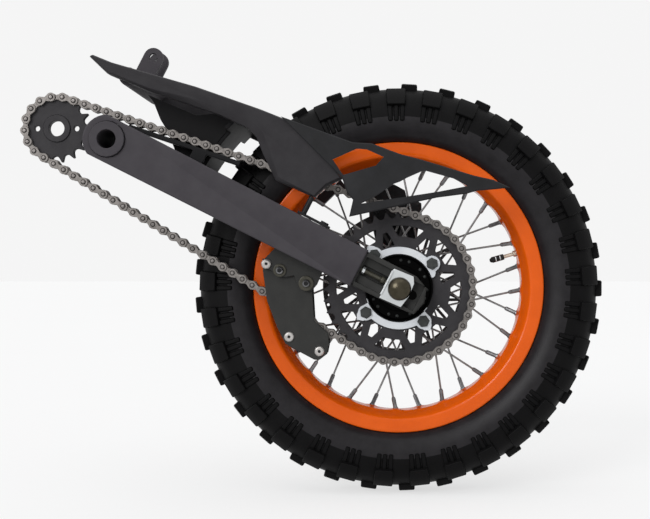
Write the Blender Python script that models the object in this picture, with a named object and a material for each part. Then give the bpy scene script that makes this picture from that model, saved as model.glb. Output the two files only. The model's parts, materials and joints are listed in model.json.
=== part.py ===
# Rear swingarm and wheel assembly of a small off-road motorcycle, in metres, +Z up.
# The machine's front is towards -X, its left side, with the chain, towards -Y.
# The world origin lies on the left end face of the pivot tube, on its ring of metal.
import math
import bmesh
import bpy
from mathutils import Matrix, Vector

for old in list(bpy.data.objects):
    bpy.data.objects.remove(old, do_unlink=True)

# General values
GAP = 0.0003
OVERRUN = 0.004
EDGE_CHAMFER = 0.0012
ROUND_SEGMENTS = 20
DISC_SEGMENTS = 40
SMALL_SEGMENTS = 12
HEX_SEGMENTS = 6
LUG_ROWS = 33
TYRE_SEGMENTS = 2 * LUG_ROWS
RIM_SEGMENTS = LUG_ROWS
FLATTEST_SHARE = 0.3

# Wheel
RIM_RADIUS = 0.163
TYRE_HEIGHT = 0.0695
TYRE_RADIUS = RIM_RADIUS + TYRE_HEIGHT
TYRE_HALF_WIDTH = 0.0385
TYRE_WALL = 0.006
LUG_HEIGHT = 0.0095
LUG_TAPER_SHARE = 0.82
FIRST_LUG_ANGLE = math.radians(-3.1)
RIM_HALF_WIDTH = 0.027
RIM_WALL = 0.0033
RIM_LIP_HEIGHT = 0.0132
RIM_WELL_DEPTH = 0.0093
RIM_SEAT_RADIUS = RIM_RADIUS - RIM_LIP_HEIGHT
RIM_WELL_RADIUS = RIM_SEAT_RADIUS - RIM_WELL_DEPTH
RIM_WELL_FLAT = RIM_WELL_RADIUS * math.cos(math.pi / RIM_SEGMENTS)
RIM_WELL_HALF_WIDTH = 0.012
RIM_LIP_LEAN = 0.0015
HUB_RADIUS = 0.024
HUB_FLANGE_RADIUS = 0.0365
HUB_FLANGE_Y = 0.030
HUB_FLANGE_THICKNESS = 0.005
HUB_END_Y = 0.0637
HUB_BORE_RADIUS = 0.0085
HUB_BOSS_RADIUS = 0.0155
CUP_RADIUS = 0.0367
CUP_WALL = 0.0022
CUP_RIM_Y = 0.0625
CUP_FLOOR_Y = 0.0530
SPOKE_COUNT = 32
SPOKE_RADIUS = 0.0013
SPOKE_SPREAD = 0.0022
SPOKE_SEGMENTS = 4
SPOKE_HOLE_RADIUS = 0.0308
SPOKE_LEAN = math.radians(65.0)
FIRST_SPOKE_ANGLE = math.radians(21.15)
VALVE_ANGLE = math.radians(16.0)
VALVE_RADIUS = 0.0028
VALVE_CAP_RADIUS = 0.0036
VALVE_NUT_RADIUS = 0.0040
VALVE_LENGTH = 0.031
VALVE_CAP_SHARE = 0.45
SPACER_RADIUS = 0.0125

# Swingarm layout, seen from the left: pivot to tyre, and how far the axle hangs below the pivot
PIVOT_TO_TYRE = 0.1165
ARM_LENGTH = TYRE_RADIUS + PIVOT_TO_TYRE
AXLE_DROP = 0.159
SPAR_OUTER_Y = 0.095
SPAR_WIDTH = 0.028
SPAR_DEPTH = 0.047
SPAR_REAR_DEPTH = 0.043
SPAR_WALL = 0.003
SPAR_END_INSET = 0.048
TRUSS_RISE = 0.106
TRUSS_WIDTH = 0.020
TRUSS_FOLD = 0.0085
TRUSS_FOLD_DEPTH = 0.005

# Pivot tube
PIVOT_RADIUS = 0.019
PIVOT_BORE_RADIUS = 0.010
PIVOT_HALF_WIDTH = 0.098
PIVOT_EYE_RADIUS = 0.0265
PIVOT_FACE_RADIUS = 0.0145

# Cross members
LOWER_TUBE_RADIUS = 0.014
LOWER_TUBE_WALL = 0.003
LOWER_TUBE_SHARE = 0.704
UPPER_TUBE_RADIUS = 0.010
UPPER_TUBE_U_SHARE = -0.045
UPPER_TUBE_N_SHARE = 0.665
SHELL_TYRE_GAP = 0.020
SHELL_THICKNESS = 0.004
SHELL_LOW_ANGLE = math.radians(4.0)
SHELL_HIGH_ANGLE = math.radians(22.5)
WEB_HALF_SPACING = 0.043
WEB_THICKNESS = 0.003
CLEVIS_HALF_GAP = 0.012
CLEVIS_EAR_THICKNESS = 0.006
CLEVIS_EAR_RADIUS = 0.011
CLEVIS_EAR_HEIGHT = 0.020
CLEVIS_HOLE_RADIUS = 0.005
CLEVIS_BASE_THICKNESS = 0.004

# Axle, dropouts and chain adjusters
AXLE_RADIUS = 0.0075
AXLE_TAIL = 0.003
DOME_RADIUS = 0.0125
DOME_HEIGHT = 0.008
NUT_RADIUS = 0.0125
NUT_HEIGHT = 0.009
DROPOUT_DEPTH = 0.040
DROPOUT_REACH = 0.0305
DROPOUT_LAP = 0.030
DROPOUT_THICKNESS = 0.0195
POCKET_DEPTH = 0.006
POCKET_HALF_HEIGHT = 0.0145
POCKET_WALL = 0.0015
GROOVE_DEPTH = 0.003
GROOVE_HALF_HEIGHT = 0.0055
SLOT_FRONT = 0.014
SLOT_REAR = 0.016
BLOCK_LENGTH = 0.028
BLOCK_HEIGHT = 0.037
BLOCK_THICKNESS = 0.004
BLOCK_LIP_THICKNESS = 0.0022
BLOCK_LIP_RISE = 0.0012
ADJUSTER_RADIUS = 0.003
ADJUSTER_HEAD_RADIUS = 0.005
ADJUSTER_HEAD_LENGTH = 0.005
ADJUSTER_NUT_INSET = 0.002

# Chain drive
CHAIN_Y = -0.054
CHAIN_PITCH = 0.0127
REAR_TEETH = 40
FRONT_TEETH = 17
FRONT_AHEAD = 0.0639
FRONT_ABOVE = 0.0157
ROLLER_RADIUS = 0.0038
TOOTH_WIDTH = 0.0058
TOOTH_TIP_SHARE = 0.85
CHAIN_INSIDE_WIDTH = 0.0068
CHAIN_PLATE_THICKNESS = 0.0016
CHAIN_PLATE_HEIGHT = 0.0098
CHAIN_WAIST_SHARE = 0.66
CHAIN_PIN_EVERY = 9
CHAIN_START_SHARE = 0.34
FRONT_BORE_RADIUS = 0.0085
FRONT_BOSS_RADIUS = 0.015
FRONT_BOSS_WIDTH = 0.009
FRONT_LOCK_HOLE_RADIUS = 0.003
FRONT_LOCK_CIRCLE_RADIUS = 0.0215

# Rear sprocket, its windows and the two plates that clamp it to the hub
RING_WIDTH = 0.0082
RING_THICKNESS = 0.0035
RING_BOSS_RADIUS = 0.0088
LOCK_TAB_REACH = 0.0028
LOCK_TAB_FOOT_SHARE = 0.9
LOCK_ARC_POINTS = 7
BOLT_CIRCLE_RADIUS = 0.0449
BOLT_FIRST_ANGLE = math.radians(36.4)
BOLT_COUNT = 4
BOLT_HEAD_RADIUS = 0.0068
BOLT_HEAD_HEIGHT = 0.0035
WINDOW_COUNT = 8
WINDOW_BAND = 0.0086
WINDOW_BOSS_MARGIN = 0.003
WINDOW_HALF_ANGLE = math.radians(15.0)
WINDOW_FOOT_ANGLE = math.radians(9.0)
FORK_STEM = 0.0065
FORK_RING_MARGIN = 0.0018
FORK_TIP_ANGLE = math.radians(2.0)
FORK_FOOT_ANGLE = math.radians(8.3)
WINDOW_ARC_POINTS = 4

# Rear brake
DISC_RADIUS = 0.089
LATTICE_OUTER_RADIUS = 0.074
LATTICE_INNER_RADIUS = 0.040
LATTICE_COUNT = 12
DISC_THICKNESS = 0.0035
DISC_Y = 0.0480
DISC_CARRIER_RADIUS = 0.036
CALIPER_ANGLE = math.radians(92.0)
CALIPER_LENGTH = 0.062
CALIPER_LAP = 0.014
CALIPER_CLEARANCE = 0.006
CALIPER_BRIDGE = 0.009
CALIPER_INNER_Y = 0.034
CALIPER_OUTER_Y = 0.064
CALIPER_SLOT = 0.0140
CALIPER_CHAMFER = 0.004
PISTON_RADIUS = 0.0118
PISTON_REACH = 0.006
PAD_PIN_RADIUS = 0.003
PAD_PIN_SPACING = 0.044
BRACKET_THICKNESS = 0.005
BRACKET_WIDTH = 0.030

# Chain guard, guide and slider
GUARD_THICKNESS = 0.003
GUARD_FLANGE_DEPTH = 0.007
GUARD_FLANGE_THICKNESS = 0.0025
GUIDE_DEPTH = 0.112
GUIDE_PLATE_THICKNESS = 0.003
GUIDE_HALF_WIDTH = 0.0105
GUIDE_BRACKET_THICKNESS = 0.004
SLIDER_THICKNESS = 0.005
SLIDER_FOOT_THICKNESS = 0.0035
SLIDER_FOOT_LENGTH = 0.016
SLIDER_FOOT_DROP = 0.007
SLIDER_FRONT_SHARE = 0.03
SLIDER_REAR_SHARE = 0.40
SLIDER_FOOT_SHARE = 0.27
STAY_RADIUS = 0.003
STAY_TAB_THICKNESS = 0.003
STAY_TAB_WIDTH = 0.012
STAY_TAB_LENGTH = 0.038
STAY_BOLT_RADIUS = 0.005
STAY_BOLT_HEIGHT = 0.004

# Truss outline, as shares of the arm's length along it and of the truss's rise, and of the fold's width
TRUSS_SHARES = (
    (-0.166, 0.660, 0.15), (-0.095, 0.590, 0.15), (0.046, 0.622, 0.30), (0.172, 0.690, 0.65),
    (0.272, 0.735, 0.90), (0.364, 0.745, 1.00), (0.401, 0.700, 1.00), (0.441, 0.585, 1.00),
    (0.513, 0.405, 0.50), (0.642, 0.430, 0.15), (0.659, 0.595, 0.15), (0.691, 0.726, 0.15),
    (0.576, 0.915, 0.15), (0.453, 0.995, 0.15), (0.372, 0.970, 0.15), (0.166, 0.877, 0.15),
    (-0.097, 0.708, 0.15), (-0.160, 0.690, 0.15))
# Web outline, as shares of the space from pivot to tyre and of the truss's rise
WEB_SHARES = (
    (0.539, 0.640), (0.042, 0.600), (0.120, 0.560), (0.255, 0.430), (0.359, 0.359), (0.515, 0.210),
    (0.584, 0.000))
# Guard outlines, as shares of the arm's length and of the truss's rise; the flange follows the top edge
GUARD_SHARES = (
    (0.440, 0.995), (0.690, 0.729), (0.725, 0.617), (0.751, 0.582), (0.764, 0.412), (0.887, 0.744),
    (0.975, 0.983), (1.049, 1.150), (1.074, 1.227), (1.124, 1.329), (1.159, 1.407), (1.105, 1.400),
    (1.045, 1.349), (0.968, 1.306), (0.886, 1.255), (0.815, 1.204), (0.724, 1.170), (0.671, 1.092))
GUARD_FLANGE_SHARES = ((0.724, 1.170), (0.815, 1.204), (0.886, 1.255), (0.968, 1.306), (1.045, 1.349))
GUARD_SLOT_SHARES = (
    (0.778, 0.583), (0.905, 0.882), (0.971, 1.043), (1.042, 1.226), (0.995, 1.231), (0.909, 1.173),
    (0.896, 1.143), (0.867, 1.026), (0.853, 0.958), (0.840, 0.913), (0.808, 0.723))
GUARD_WINDOW_SHARES = (
    (0.640, 0.849), (0.690, 0.757), (0.766, 0.992), (0.775, 1.104), (0.719, 1.094), (0.691, 1.057))
# Guide outlines, as shares of the arm's length and of the guide's depth below it
GUIDE_SHARES = (
    (0.579, -0.343), (0.750, -0.278), (0.759, -0.381), (0.811, -0.656), (0.867, -0.698), (0.885, -0.788),
    (0.894, -0.883), (0.881, -0.970), (0.866, -0.992), (0.781, -0.988), (0.763, -0.979), (0.716, -0.873),
    (0.651, -0.689), (0.599, -0.458))
GUIDE_BLOCK_SHARES = ((0.60, -0.27), (0.74, -0.27), (0.74, -0.42), (0.61, -0.42))
GUIDE_BRACKET_SHARES = (
    (0.768, -0.330), (0.762, -0.405), (0.736, -0.430), (0.712, -0.410), (0.692, -0.350), (0.672, -0.400),
    (0.648, -0.430), (0.624, -0.410), (0.600, -0.400), (0.583, -0.370))
GUIDE_BRACKET_TOP_SHARES = (0.600, 0.765)
# Dropout's rear end, as shares of its reach behind the axle and of half its depth
DROPOUT_END_SHARES = ((0.40, -0.93), (0.85, -0.88), (1.00, -0.07), (0.84, 0.70), (0.35, 1.00))
# Axle block, as shares of its length and height about the axle
BLOCK_SHARES = ((-0.53, 0.45), (-0.53, -0.49), (0.36, -0.45), (0.45, -0.07), (0.41, 0.32), (0.27, 0.50))
# Tyre section, as shares of the height from rim edge to lug tips and of the half width
TYRE_BULGE_SHARES = ((0.285, 0.99), (0.56, 0.93), (0.835, 0.52))
TYRE_CAVITY_SHARES = (0.66, 0.62)
# Windows of the disc's lattice, as shares of the way from its inner to its outer radius and of its step
LATTICE_SHARES = (
    ((0.00, 0.09), (0.00, 0.91), (0.79, 0.533), (0.79, 0.467)),
    ((1.00, -0.452), (1.03, 0.00), (1.00, 0.452), (0.15, 0.05), (0.15, -0.05)))
# Caliper corners, as shares of its height and of half its length
CALIPER_SHARES = ((0.00, -0.80), (0.00, 0.80), (0.25, 1.00), (0.75, 1.00), (1.00, 0.62), (1.00, -0.62),
                  (0.75, -1.00), (0.25, -1.00))
# Tooth flanks, as shares of the tooth's step and of the way from the valley to the tip
TOOTH_SHARES = ((-0.17, 0.05), (0.17, 0.05), (0.42, 1.00), (0.58, 1.00))

AXLE_X = math.sqrt(ARM_LENGTH ** 2 - AXLE_DROP ** 2)
ALONG = Vector((AXLE_X / ARM_LENGTH, 0.0, -AXLE_DROP / ARM_LENGTH))
ABOVE = Vector((AXLE_DROP / ARM_LENGTH, 0.0, AXLE_X / ARM_LENGTH))
ARM_TILT = math.atan2(-AXLE_DROP, AXLE_X)
REAR_PITCH_RADIUS = CHAIN_PITCH / (2.0 * math.sin(math.pi / REAR_TEETH))
FRONT_PITCH_RADIUS = CHAIN_PITCH / (2.0 * math.sin(math.pi / FRONT_TEETH))
CALIPER_LOW_RADIUS = DISC_RADIUS - CALIPER_LAP
CALIPER_MOUTH_RADIUS = DISC_RADIUS + CALIPER_CLEARANCE
CALIPER_HIGH_RADIUS = CALIPER_MOUTH_RADIUS + CALIPER_BRIDGE
BRACKET_Y = CALIPER_OUTER_Y + GAP
SPROCKET_FACE = CHAIN_Y - TOOTH_WIDTH / 2.0 - GAP
SPAR_REAR_U = ARM_LENGTH - SPAR_END_INSET
SHELL_RADIUS = TYRE_RADIUS + SHELL_TYRE_GAP


def material(name, colour, roughness, metallic):
    new = bpy.data.materials.new(name)
    new.use_nodes = True
    shader = new.node_tree.nodes["Principled BSDF"]
    shader.inputs["Base Color"].default_value = (*colour, 1.0)
    shader.inputs["Roughness"].default_value = roughness
    shader.inputs["Metallic"].default_value = metallic
    new.diffuse_color = (*colour, 1.0)
    return new


ARM_PAINT = material("arm_paint", (0.060, 0.057, 0.064), 0.55, 0.0)
BLACK_PAINT = material("black_paint", (0.012, 0.012, 0.013), 0.35, 0.0)
GUARD_PLASTIC = material("guard_plastic", (0.045, 0.044, 0.047), 0.6, 0.0)
NYLON = material("nylon", (0.015, 0.015, 0.016), 0.6, 0.0)
ZINC = material("zinc", (0.75, 0.76, 0.78), 0.3, 1.0)
BRONZE_STEEL = material("bronze_steel", (0.13, 0.11, 0.08), 0.35, 1.0)
CHAIN_STEEL = material("chain_steel", (0.30, 0.27, 0.25), 0.4, 1.0)
SPROCKET_STEEL = material("sprocket_steel", (0.07, 0.07, 0.075), 0.45, 0.8)
RING_ALLOY = material("ring_alloy", (0.70, 0.72, 0.74), 0.3, 1.0)
HUB_PAINT = material("hub_paint", (0.012, 0.012, 0.013), 0.25, 0.0)
RIM_PAINT = material("rim_paint", (0.80, 0.13, 0.02), 0.25, 0.0)
RUBBER = material("rubber", (0.022, 0.022, 0.023), 0.75, 0.0)
DISC_STEEL = material("disc_steel", (0.55, 0.55, 0.56), 0.3, 1.0)
CALIPER_PAINT = material("caliper_paint", (0.015, 0.015, 0.016), 0.4, 0.0)
BRASS = material("brass", (0.60, 0.50, 0.32), 0.3, 1.0)


def empty(name, place, parent=None):
    new = bpy.data.objects.new(name, None)
    bpy.context.scene.collection.objects.link(new)
    new.parent = parent
    new.location = place
    return new


def front_sprocket_place(axle):
    """Front sprocket's centre, moved along the line to the axle until the chain closes on itself."""
    wanted = Vector((-FRONT_AHEAD, 0.0, FRONT_ABOVE))
    step = (REAR_TEETH - FRONT_TEETH) / (2.0 * math.pi)
    half_sum = (REAR_TEETH + FRONT_TEETH) / 2.0
    pitches = (axle - wanted).length / CHAIN_PITCH
    links = 2 * round((2.0 * pitches + half_sum + step ** 2 / pitches) / 2.0)
    free = links - half_sum
    distance = CHAIN_PITCH * (free + math.sqrt(free ** 2 - 8.0 * step ** 2)) / 4.0
    return axle + (wanted - axle).normalized() * distance, links


AXLE_PLACE = ALONG * ARM_LENGTH
FRONT_PLACE, CHAIN_LINKS = front_sprocket_place(AXLE_PLACE)
ARM_FRAME = empty("arm_frame", Vector((0.0, PIVOT_HALF_WIDTH, -PIVOT_FACE_RADIUS)))
WHEEL_AXIS = empty("wheel_axis", AXLE_PLACE, ARM_FRAME)
FRONT_AXIS = empty("front_sprocket_axis", FRONT_PLACE, ARM_FRAME)


def link_object(name, mesh_data, parent, place):
    new = bpy.data.objects.new(name, mesh_data)
    bpy.context.scene.collection.objects.link(new)
    new.parent = parent
    new.location = place
    return new


def add_object(name, mesh_data, look, parent=ARM_FRAME, place=(0.0, 0.0, 0.0)):
    new = link_object(name, mesh_data, parent, place)
    mesh_data.materials.clear()
    mesh_data.materials.append(look)
    return new


def combine(target, name, mesh_data, operation="DIFFERENCE", parent=ARM_FRAME, place=(0.0, 0.0, 0.0)):
    """Cuts a helper solid out of the target, or joins it on, and keeps the helper as a wire guide."""
    other = link_object(name, mesh_data, parent, place)
    other.hide_render = True
    other.display_type = "WIRE"
    step = target.modifiers.new(name, "BOOLEAN")
    step.operation = operation
    step.solver = "EXACT"
    step.object = other


def finish_mesh(name, work):
    bmesh.ops.recalc_face_normals(work, faces=work.faces)
    data = bpy.data.meshes.new(name)
    work.to_mesh(data)
    work.free()
    data.shade_smooth()
    data.set_sharp_from_angle(angle=math.radians(30.0))
    return data


def arm_point(u_share, n_share, rise):
    return ALONG * (u_share * ARM_LENGTH) + ABOVE * (n_share * rise)


def direction(angle):
    return Vector((math.cos(angle), 0.0, math.sin(angle)))


def circle_points(centre, radius, count, start=0.0):
    return [centre + direction(start + 2.0 * math.pi * i / count) * radius for i in range(count)]


def arc_points(centre, radius, count, start, sweep):
    return [centre + direction(start + sweep * i / (count - 1)) * radius for i in range(count)]


def rectangle(centre, along, across, length, height):
    """Four corners about a centre, from full length and height in two directions."""
    half_length, half_height = along * (length / 2.0), across * (height / 2.0)
    return [centre - half_length - half_height, centre + half_length - half_height,
            centre + half_length + half_height, centre - half_length + half_height]


def inset(points, steps):
    """The outline drawn inwards, each corner by its own step from its two edges."""
    count = len(points)
    area = sum(points[i - 1].x * points[i].z - points[i].x * points[i - 1].z for i in range(count))
    turn = math.copysign(1.0, area)
    moved = []
    for index, point in enumerate(points):
        before = (point - points[index - 1]).normalized()
        after = (points[(index + 1) % count] - point).normalized()
        normals = [Vector((-edge.z, 0.0, edge.x)) * turn for edge in (before, after)]
        middle = (normals[0] + normals[1]).normalized()
        moved.append(point + middle * (steps[index] / max(middle.dot(normals[1]), FLATTEST_SHARE)))
    return moved


def loft(name, sections):
    """Closed solid through outlines in the XZ plane, each with its y, all with as many points."""
    work = bmesh.new()
    rings = [[work.verts.new((point.x, y, point.z)) for point in points] for points, y in sections]
    work.faces.new(rings[0])
    work.faces.new(rings[-1])
    for first, second in zip(rings, rings[1:]):
        for i in range(len(first)):
            j = (i + 1) % len(first)
            work.faces.new((first[i], first[j], second[j], second[i]))
    return finish_mesh(name, work)


def prism(name, points, low_y, high_y):
    return loft(name, ((points, low_y), (points, high_y)))


def chamfered(name, points, low_y, high_y, chamfer=EDGE_CHAMFER):
    """Prism across Y with its two faces' edges chamfered."""
    small = inset(points, [chamfer] * len(points))
    return loft(name, ((small, low_y), (points, low_y + chamfer), (points, high_y - chamfer), (small, high_y)))


def turned(name, profile, segments, start=0.0):
    """Solid turned about Y from a closed loop of (radius, y) points."""
    work = bmesh.new()
    turn_profile(work, profile, segments, start)
    return finish_mesh(name, work)


def turn_profile(work, profile, segments, start=0.0):
    """Adds the faces of a turned profile, and gives them as one row for each step of the profile."""
    rings = []
    for radius, y in profile:
        if radius > 0.0:
            places = circle_points(Vector((0.0, y, 0.0)), radius, segments, start)
        else:
            places = [Vector((0.0, y, 0.0))]
        rings.append([work.verts.new(place) for place in places])
    rows = []
    for index, first in enumerate(rings):
        second = rings[(index + 1) % len(rings)]
        row = []
        for i in range(segments):
            j = (i + 1) % segments
            corners = [first[i % len(first)], first[j % len(first)]]
            corners += [second[j % len(second)], second[i % len(second)]]
            kept = [corner for n, corner in enumerate(corners) if corner not in corners[:n]]
            if len(kept) > 2:
                row.append(work.faces.new(kept))
        rows.append(row)
    return rows


def ring_profile(inner, outer, low_y, high_y):
    return ((inner, low_y), (outer, low_y), (outer, high_y), (inner, high_y))


def mirrored_sides():
    return (("left", -1.0), ("right", 1.0))


def side_span(side, near, far):
    """Lowest and highest y of a slab between two distances from the mid-plane."""
    return tuple(sorted((side * near, side * far)))


def build_pivot_tube():
    profile = ring_profile(PIVOT_BORE_RADIUS, PIVOT_RADIUS, -PIVOT_HALF_WIDTH, PIVOT_HALF_WIDTH)
    add_object("pivot_tube", turned("pivot_tube", profile, ROUND_SEGMENTS), ARM_PAINT)


def spar_half_depth(u):
    """Half the spar's depth at a distance along the arm; it tapers to the rear."""
    return (SPAR_DEPTH + (SPAR_REAR_DEPTH - SPAR_DEPTH) * u / SPAR_REAR_U) / 2.0


def spar_edge(u, side):
    """Point just off the spar's upper (1) or lower (-1) edge."""
    return ALONG * u + ABOVE * (side * (spar_half_depth(u) + GAP))


def build_spar(label, side):
    """Box-section beam with a round eye for the pivot tube, open at its rear end."""
    nose = math.acos(SPAR_DEPTH / 2.0 / PIVOT_EYE_RADIUS)
    arc = arc_points(Vector(), PIVOT_EYE_RADIUS, SMALL_SEGMENTS + 1,
                     ARM_TILT + math.pi / 2.0 + nose, math.pi - 2.0 * nose)
    rear = ALONG * SPAR_REAR_U
    rear_half = ABOVE * (SPAR_REAR_DEPTH / 2.0)
    low, high = side_span(side, SPAR_OUTER_Y - SPAR_WIDTH, SPAR_OUTER_Y)
    outline = arc + [rear - rear_half, rear + rear_half]
    spar = add_object("spar_" + label, chamfered("spar_" + label, outline, low, high), ARM_PAINT)
    hole = prism("pivot_hole", circle_points(Vector(), PIVOT_RADIUS + GAP, ROUND_SEGMENTS),
                 low - OVERRUN, high + OVERRUN)
    combine(spar, "pivot_hole_" + label, hole)
    front = ALONG * (PIVOT_EYE_RADIUS + SPAR_DEPTH / 2.0)
    end = ALONG * (SPAR_REAR_U + OVERRUN)
    front_half = ABOVE * (SPAR_DEPTH / 2.0 - SPAR_WALL)
    end_half = ABOVE * (SPAR_REAR_DEPTH / 2.0 - SPAR_WALL)
    inside = [front - front_half, end - end_half, end + end_half, front + front_half]
    combine(spar, "spar_inside_" + label, prism("spar_inside", inside, low + SPAR_WALL, high - SPAR_WALL))


def build_truss(label, side):
    """Upper beam and rear brace, its outer face folded in along the lower edge."""
    outline = [arm_point(u, n, TRUSS_RISE) for u, n, fold in TRUSS_SHARES]
    face = inset(outline, [fold * TRUSS_FOLD for u, n, fold in TRUSS_SHARES])
    sections = [(face, side * SPAR_OUTER_Y), (outline, side * (SPAR_OUTER_Y - TRUSS_FOLD_DEPTH)),
                (outline, side * (SPAR_OUTER_Y - TRUSS_WIDTH))]
    add_object("truss_" + label, loft("truss_" + label, sections), ARM_PAINT)


def lower_tube_place():
    return ALONG * (LOWER_TUBE_SHARE * PIVOT_TO_TYRE)


def build_lower_tube():
    end = SPAR_OUTER_Y - SPAR_WIDTH - GAP
    profile = ring_profile(LOWER_TUBE_RADIUS - LOWER_TUBE_WALL, LOWER_TUBE_RADIUS, -end, end)
    add_object("lower_cross_tube", turned("lower_cross_tube", profile, ROUND_SEGMENTS), ARM_PAINT,
               place=lower_tube_place())


def upper_tube_place():
    return arm_point(UPPER_TUBE_U_SHARE, UPPER_TUBE_N_SHARE, TRUSS_RISE)


def build_upper_tube():
    end = SPAR_OUTER_Y - TRUSS_WIDTH - GAP
    profile = ring_profile(UPPER_TUBE_RADIUS - LOWER_TUBE_WALL, UPPER_TUBE_RADIUS, -end, end)
    add_object("upper_cross_tube", turned("upper_cross_tube", profile, ROUND_SEGMENTS), ARM_PAINT,
               place=upper_tube_place())


def shell_arc(radius):
    """Points from the shell's foot to its head, on a radius about the axle."""
    heading = math.atan2(AXLE_DROP, -AXLE_X)
    return arc_points(AXLE_PLACE, radius, SMALL_SEGMENTS, heading - SHELL_LOW_ANGLE,
                      SHELL_LOW_ANGLE - SHELL_HIGH_ANGLE)


def build_cross_shell():
    """Curved plate ahead of the tyre that ties both trusses together, open on each side for a chain."""
    outer = shell_arc(SHELL_RADIUS + SHELL_THICKNESS)
    inner = shell_arc(SHELL_RADIUS)
    end = SPAR_OUTER_Y - TRUSS_WIDTH - GAP
    shell = add_object("cross_shell", prism("cross_shell", outer + inner[::-1], -end, end), ARM_PAINT)
    reach = ALONG * (SHELL_TYRE_GAP + OVERRUN)
    centre = ALONG * (ARM_LENGTH - SHELL_RADIUS)
    foot = ABOVE * (SHELL_TYRE_GAP + OVERRUN)
    top = ABOVE * (TRUSS_SHARES[4][1] * TRUSS_RISE - CHAIN_PLATE_HEIGHT)
    window = [centre - reach - foot, centre + reach - foot, centre + reach + top, centre - reach + top]
    for label, side in mirrored_sides():
        low, high = side_span(side, WEB_HALF_SPACING + WEB_THICKNESS, end + OVERRUN)
        combine(shell, "shell_window_" + label, prism("shell_window", window, low, high))


def build_webs():
    """Inner plates from the lower cross tube up to the shell, inside the chain's run."""
    outline = [ALONG * (u * PIVOT_TO_TYRE) + ABOVE * (n * TRUSS_RISE) for u, n in WEB_SHARES]
    outline += shell_arc(SHELL_RADIUS + SHELL_THICKNESS + GAP)[1:]
    for label, side in mirrored_sides():
        low, high = side_span(side, WEB_HALF_SPACING, WEB_HALF_SPACING + WEB_THICKNESS)
        web = add_object("web_" + label, prism("web_" + label, outline, low, high), ARM_PAINT)
        tube = prism("web_seat", circle_points(lower_tube_place(), LOWER_TUBE_RADIUS + GAP, ROUND_SEGMENTS),
                     low - OVERRUN, high + OVERRUN)
        combine(web, "web_seat_" + label, tube)


def build_clevis():
    """Two ears on the upper cross tube, between which the shock absorber's lower eye is held."""
    base = upper_tube_place() + ABOVE * (UPPER_TUBE_RADIUS + GAP)
    eye = base + ABOVE * (CLEVIS_BASE_THICKNESS + CLEVIS_EAR_HEIGHT)
    outline = arc_points(eye, CLEVIS_EAR_RADIUS, SMALL_SEGMENTS + 1, ARM_TILT, math.pi)
    outline += [base - ALONG * CLEVIS_EAR_RADIUS, base + ALONG * CLEVIS_EAR_RADIUS]
    outer = CLEVIS_HALF_GAP + CLEVIS_EAR_THICKNESS
    clevis = add_object("shock_clevis", prism("shock_clevis", outline, -outer, outer), ARM_PAINT)
    height = CLEVIS_EAR_HEIGHT + CLEVIS_EAR_RADIUS + OVERRUN
    gap = rectangle(base + ABOVE * (CLEVIS_BASE_THICKNESS + height / 2.0), ALONG, ABOVE,
                    2.0 * (CLEVIS_EAR_RADIUS + OVERRUN), height)
    combine(clevis, "clevis_gap", prism("clevis_gap", gap, -CLEVIS_HALF_GAP, CLEVIS_HALF_GAP))
    hole = prism("clevis_hole", circle_points(eye, CLEVIS_HOLE_RADIUS, SMALL_SEGMENTS),
                 -outer - OVERRUN, outer + OVERRUN)
    combine(clevis, "clevis_hole", hole)


def dropout_outer():
    """Distance of the dropout's outer face from the mid-plane: it slides into the spar's open end."""
    return SPAR_OUTER_Y - SPAR_WALL - GAP


def groove_floor():
    return dropout_outer() - POCKET_DEPTH - GROOVE_DEPTH


def dropout_shoulder():
    return SPAR_REAR_U + GAP


def build_dropout(label, side):
    """Cast end with a recessed channel for the adjuster and a slot for the axle."""
    half = DROPOUT_DEPTH / 2.0
    inside = SPAR_REAR_DEPTH / 2.0 - SPAR_WALL - GAP
    shoulder = dropout_shoulder()
    front = SPAR_REAR_U - DROPOUT_LAP
    end = [ALONG * (ARM_LENGTH + u * DROPOUT_REACH) + ABOVE * (n * half) for u, n in DROPOUT_END_SHARES]
    outline = [ALONG * front - ABOVE * inside, ALONG * shoulder - ABOVE * inside]
    outline.append(ALONG * shoulder - ABOVE * half)
    outline += end + [ALONG * shoulder + ABOVE * half, ALONG * shoulder + ABOVE * inside,
                      ALONG * front + ABOVE * inside]
    low, high = side_span(side, dropout_outer() - DROPOUT_THICKNESS, dropout_outer())
    plate = add_object("dropout_" + label, chamfered("dropout_" + label, outline, low, high), ARM_PAINT)
    pocket_start = shoulder + POCKET_WALL
    pocket_end = ARM_LENGTH + SLOT_REAR + AXLE_RADIUS
    middle = ALONG * ((pocket_start + pocket_end) / 2.0)
    pocket = rectangle(middle, ALONG, ABOVE, pocket_end - pocket_start, 2.0 * POCKET_HALF_HEIGHT)
    cut = side_span(side, dropout_outer() - POCKET_DEPTH, dropout_outer() + OVERRUN)
    combine(plate, "pocket_" + label, prism("pocket", pocket, *cut))
    groove_start = pocket_start + POCKET_WALL
    middle = ALONG * ((groove_start + ARM_LENGTH) / 2.0)
    groove = rectangle(middle, ALONG, ABOVE, ARM_LENGTH - groove_start, 2.0 * GROOVE_HALF_HEIGHT)
    cut = side_span(side, groove_floor(), dropout_outer() + OVERRUN)
    combine(plate, "groove_" + label, prism("groove", groove, *cut))
    wide = AXLE_RADIUS + GAP
    slot = arc_points(ALONG * (ARM_LENGTH + SLOT_REAR - wide), wide, SMALL_SEGMENTS // 2 + 1,
                      ARM_TILT - math.pi / 2.0, math.pi)
    slot_start = ALONG * (ARM_LENGTH - SLOT_FRONT)
    slot += [slot_start + ABOVE * wide, slot_start - ABOVE * wide]
    combine(plate, "slot_" + label, prism("slot", slot, low - OVERRUN, high + OVERRUN))


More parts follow.
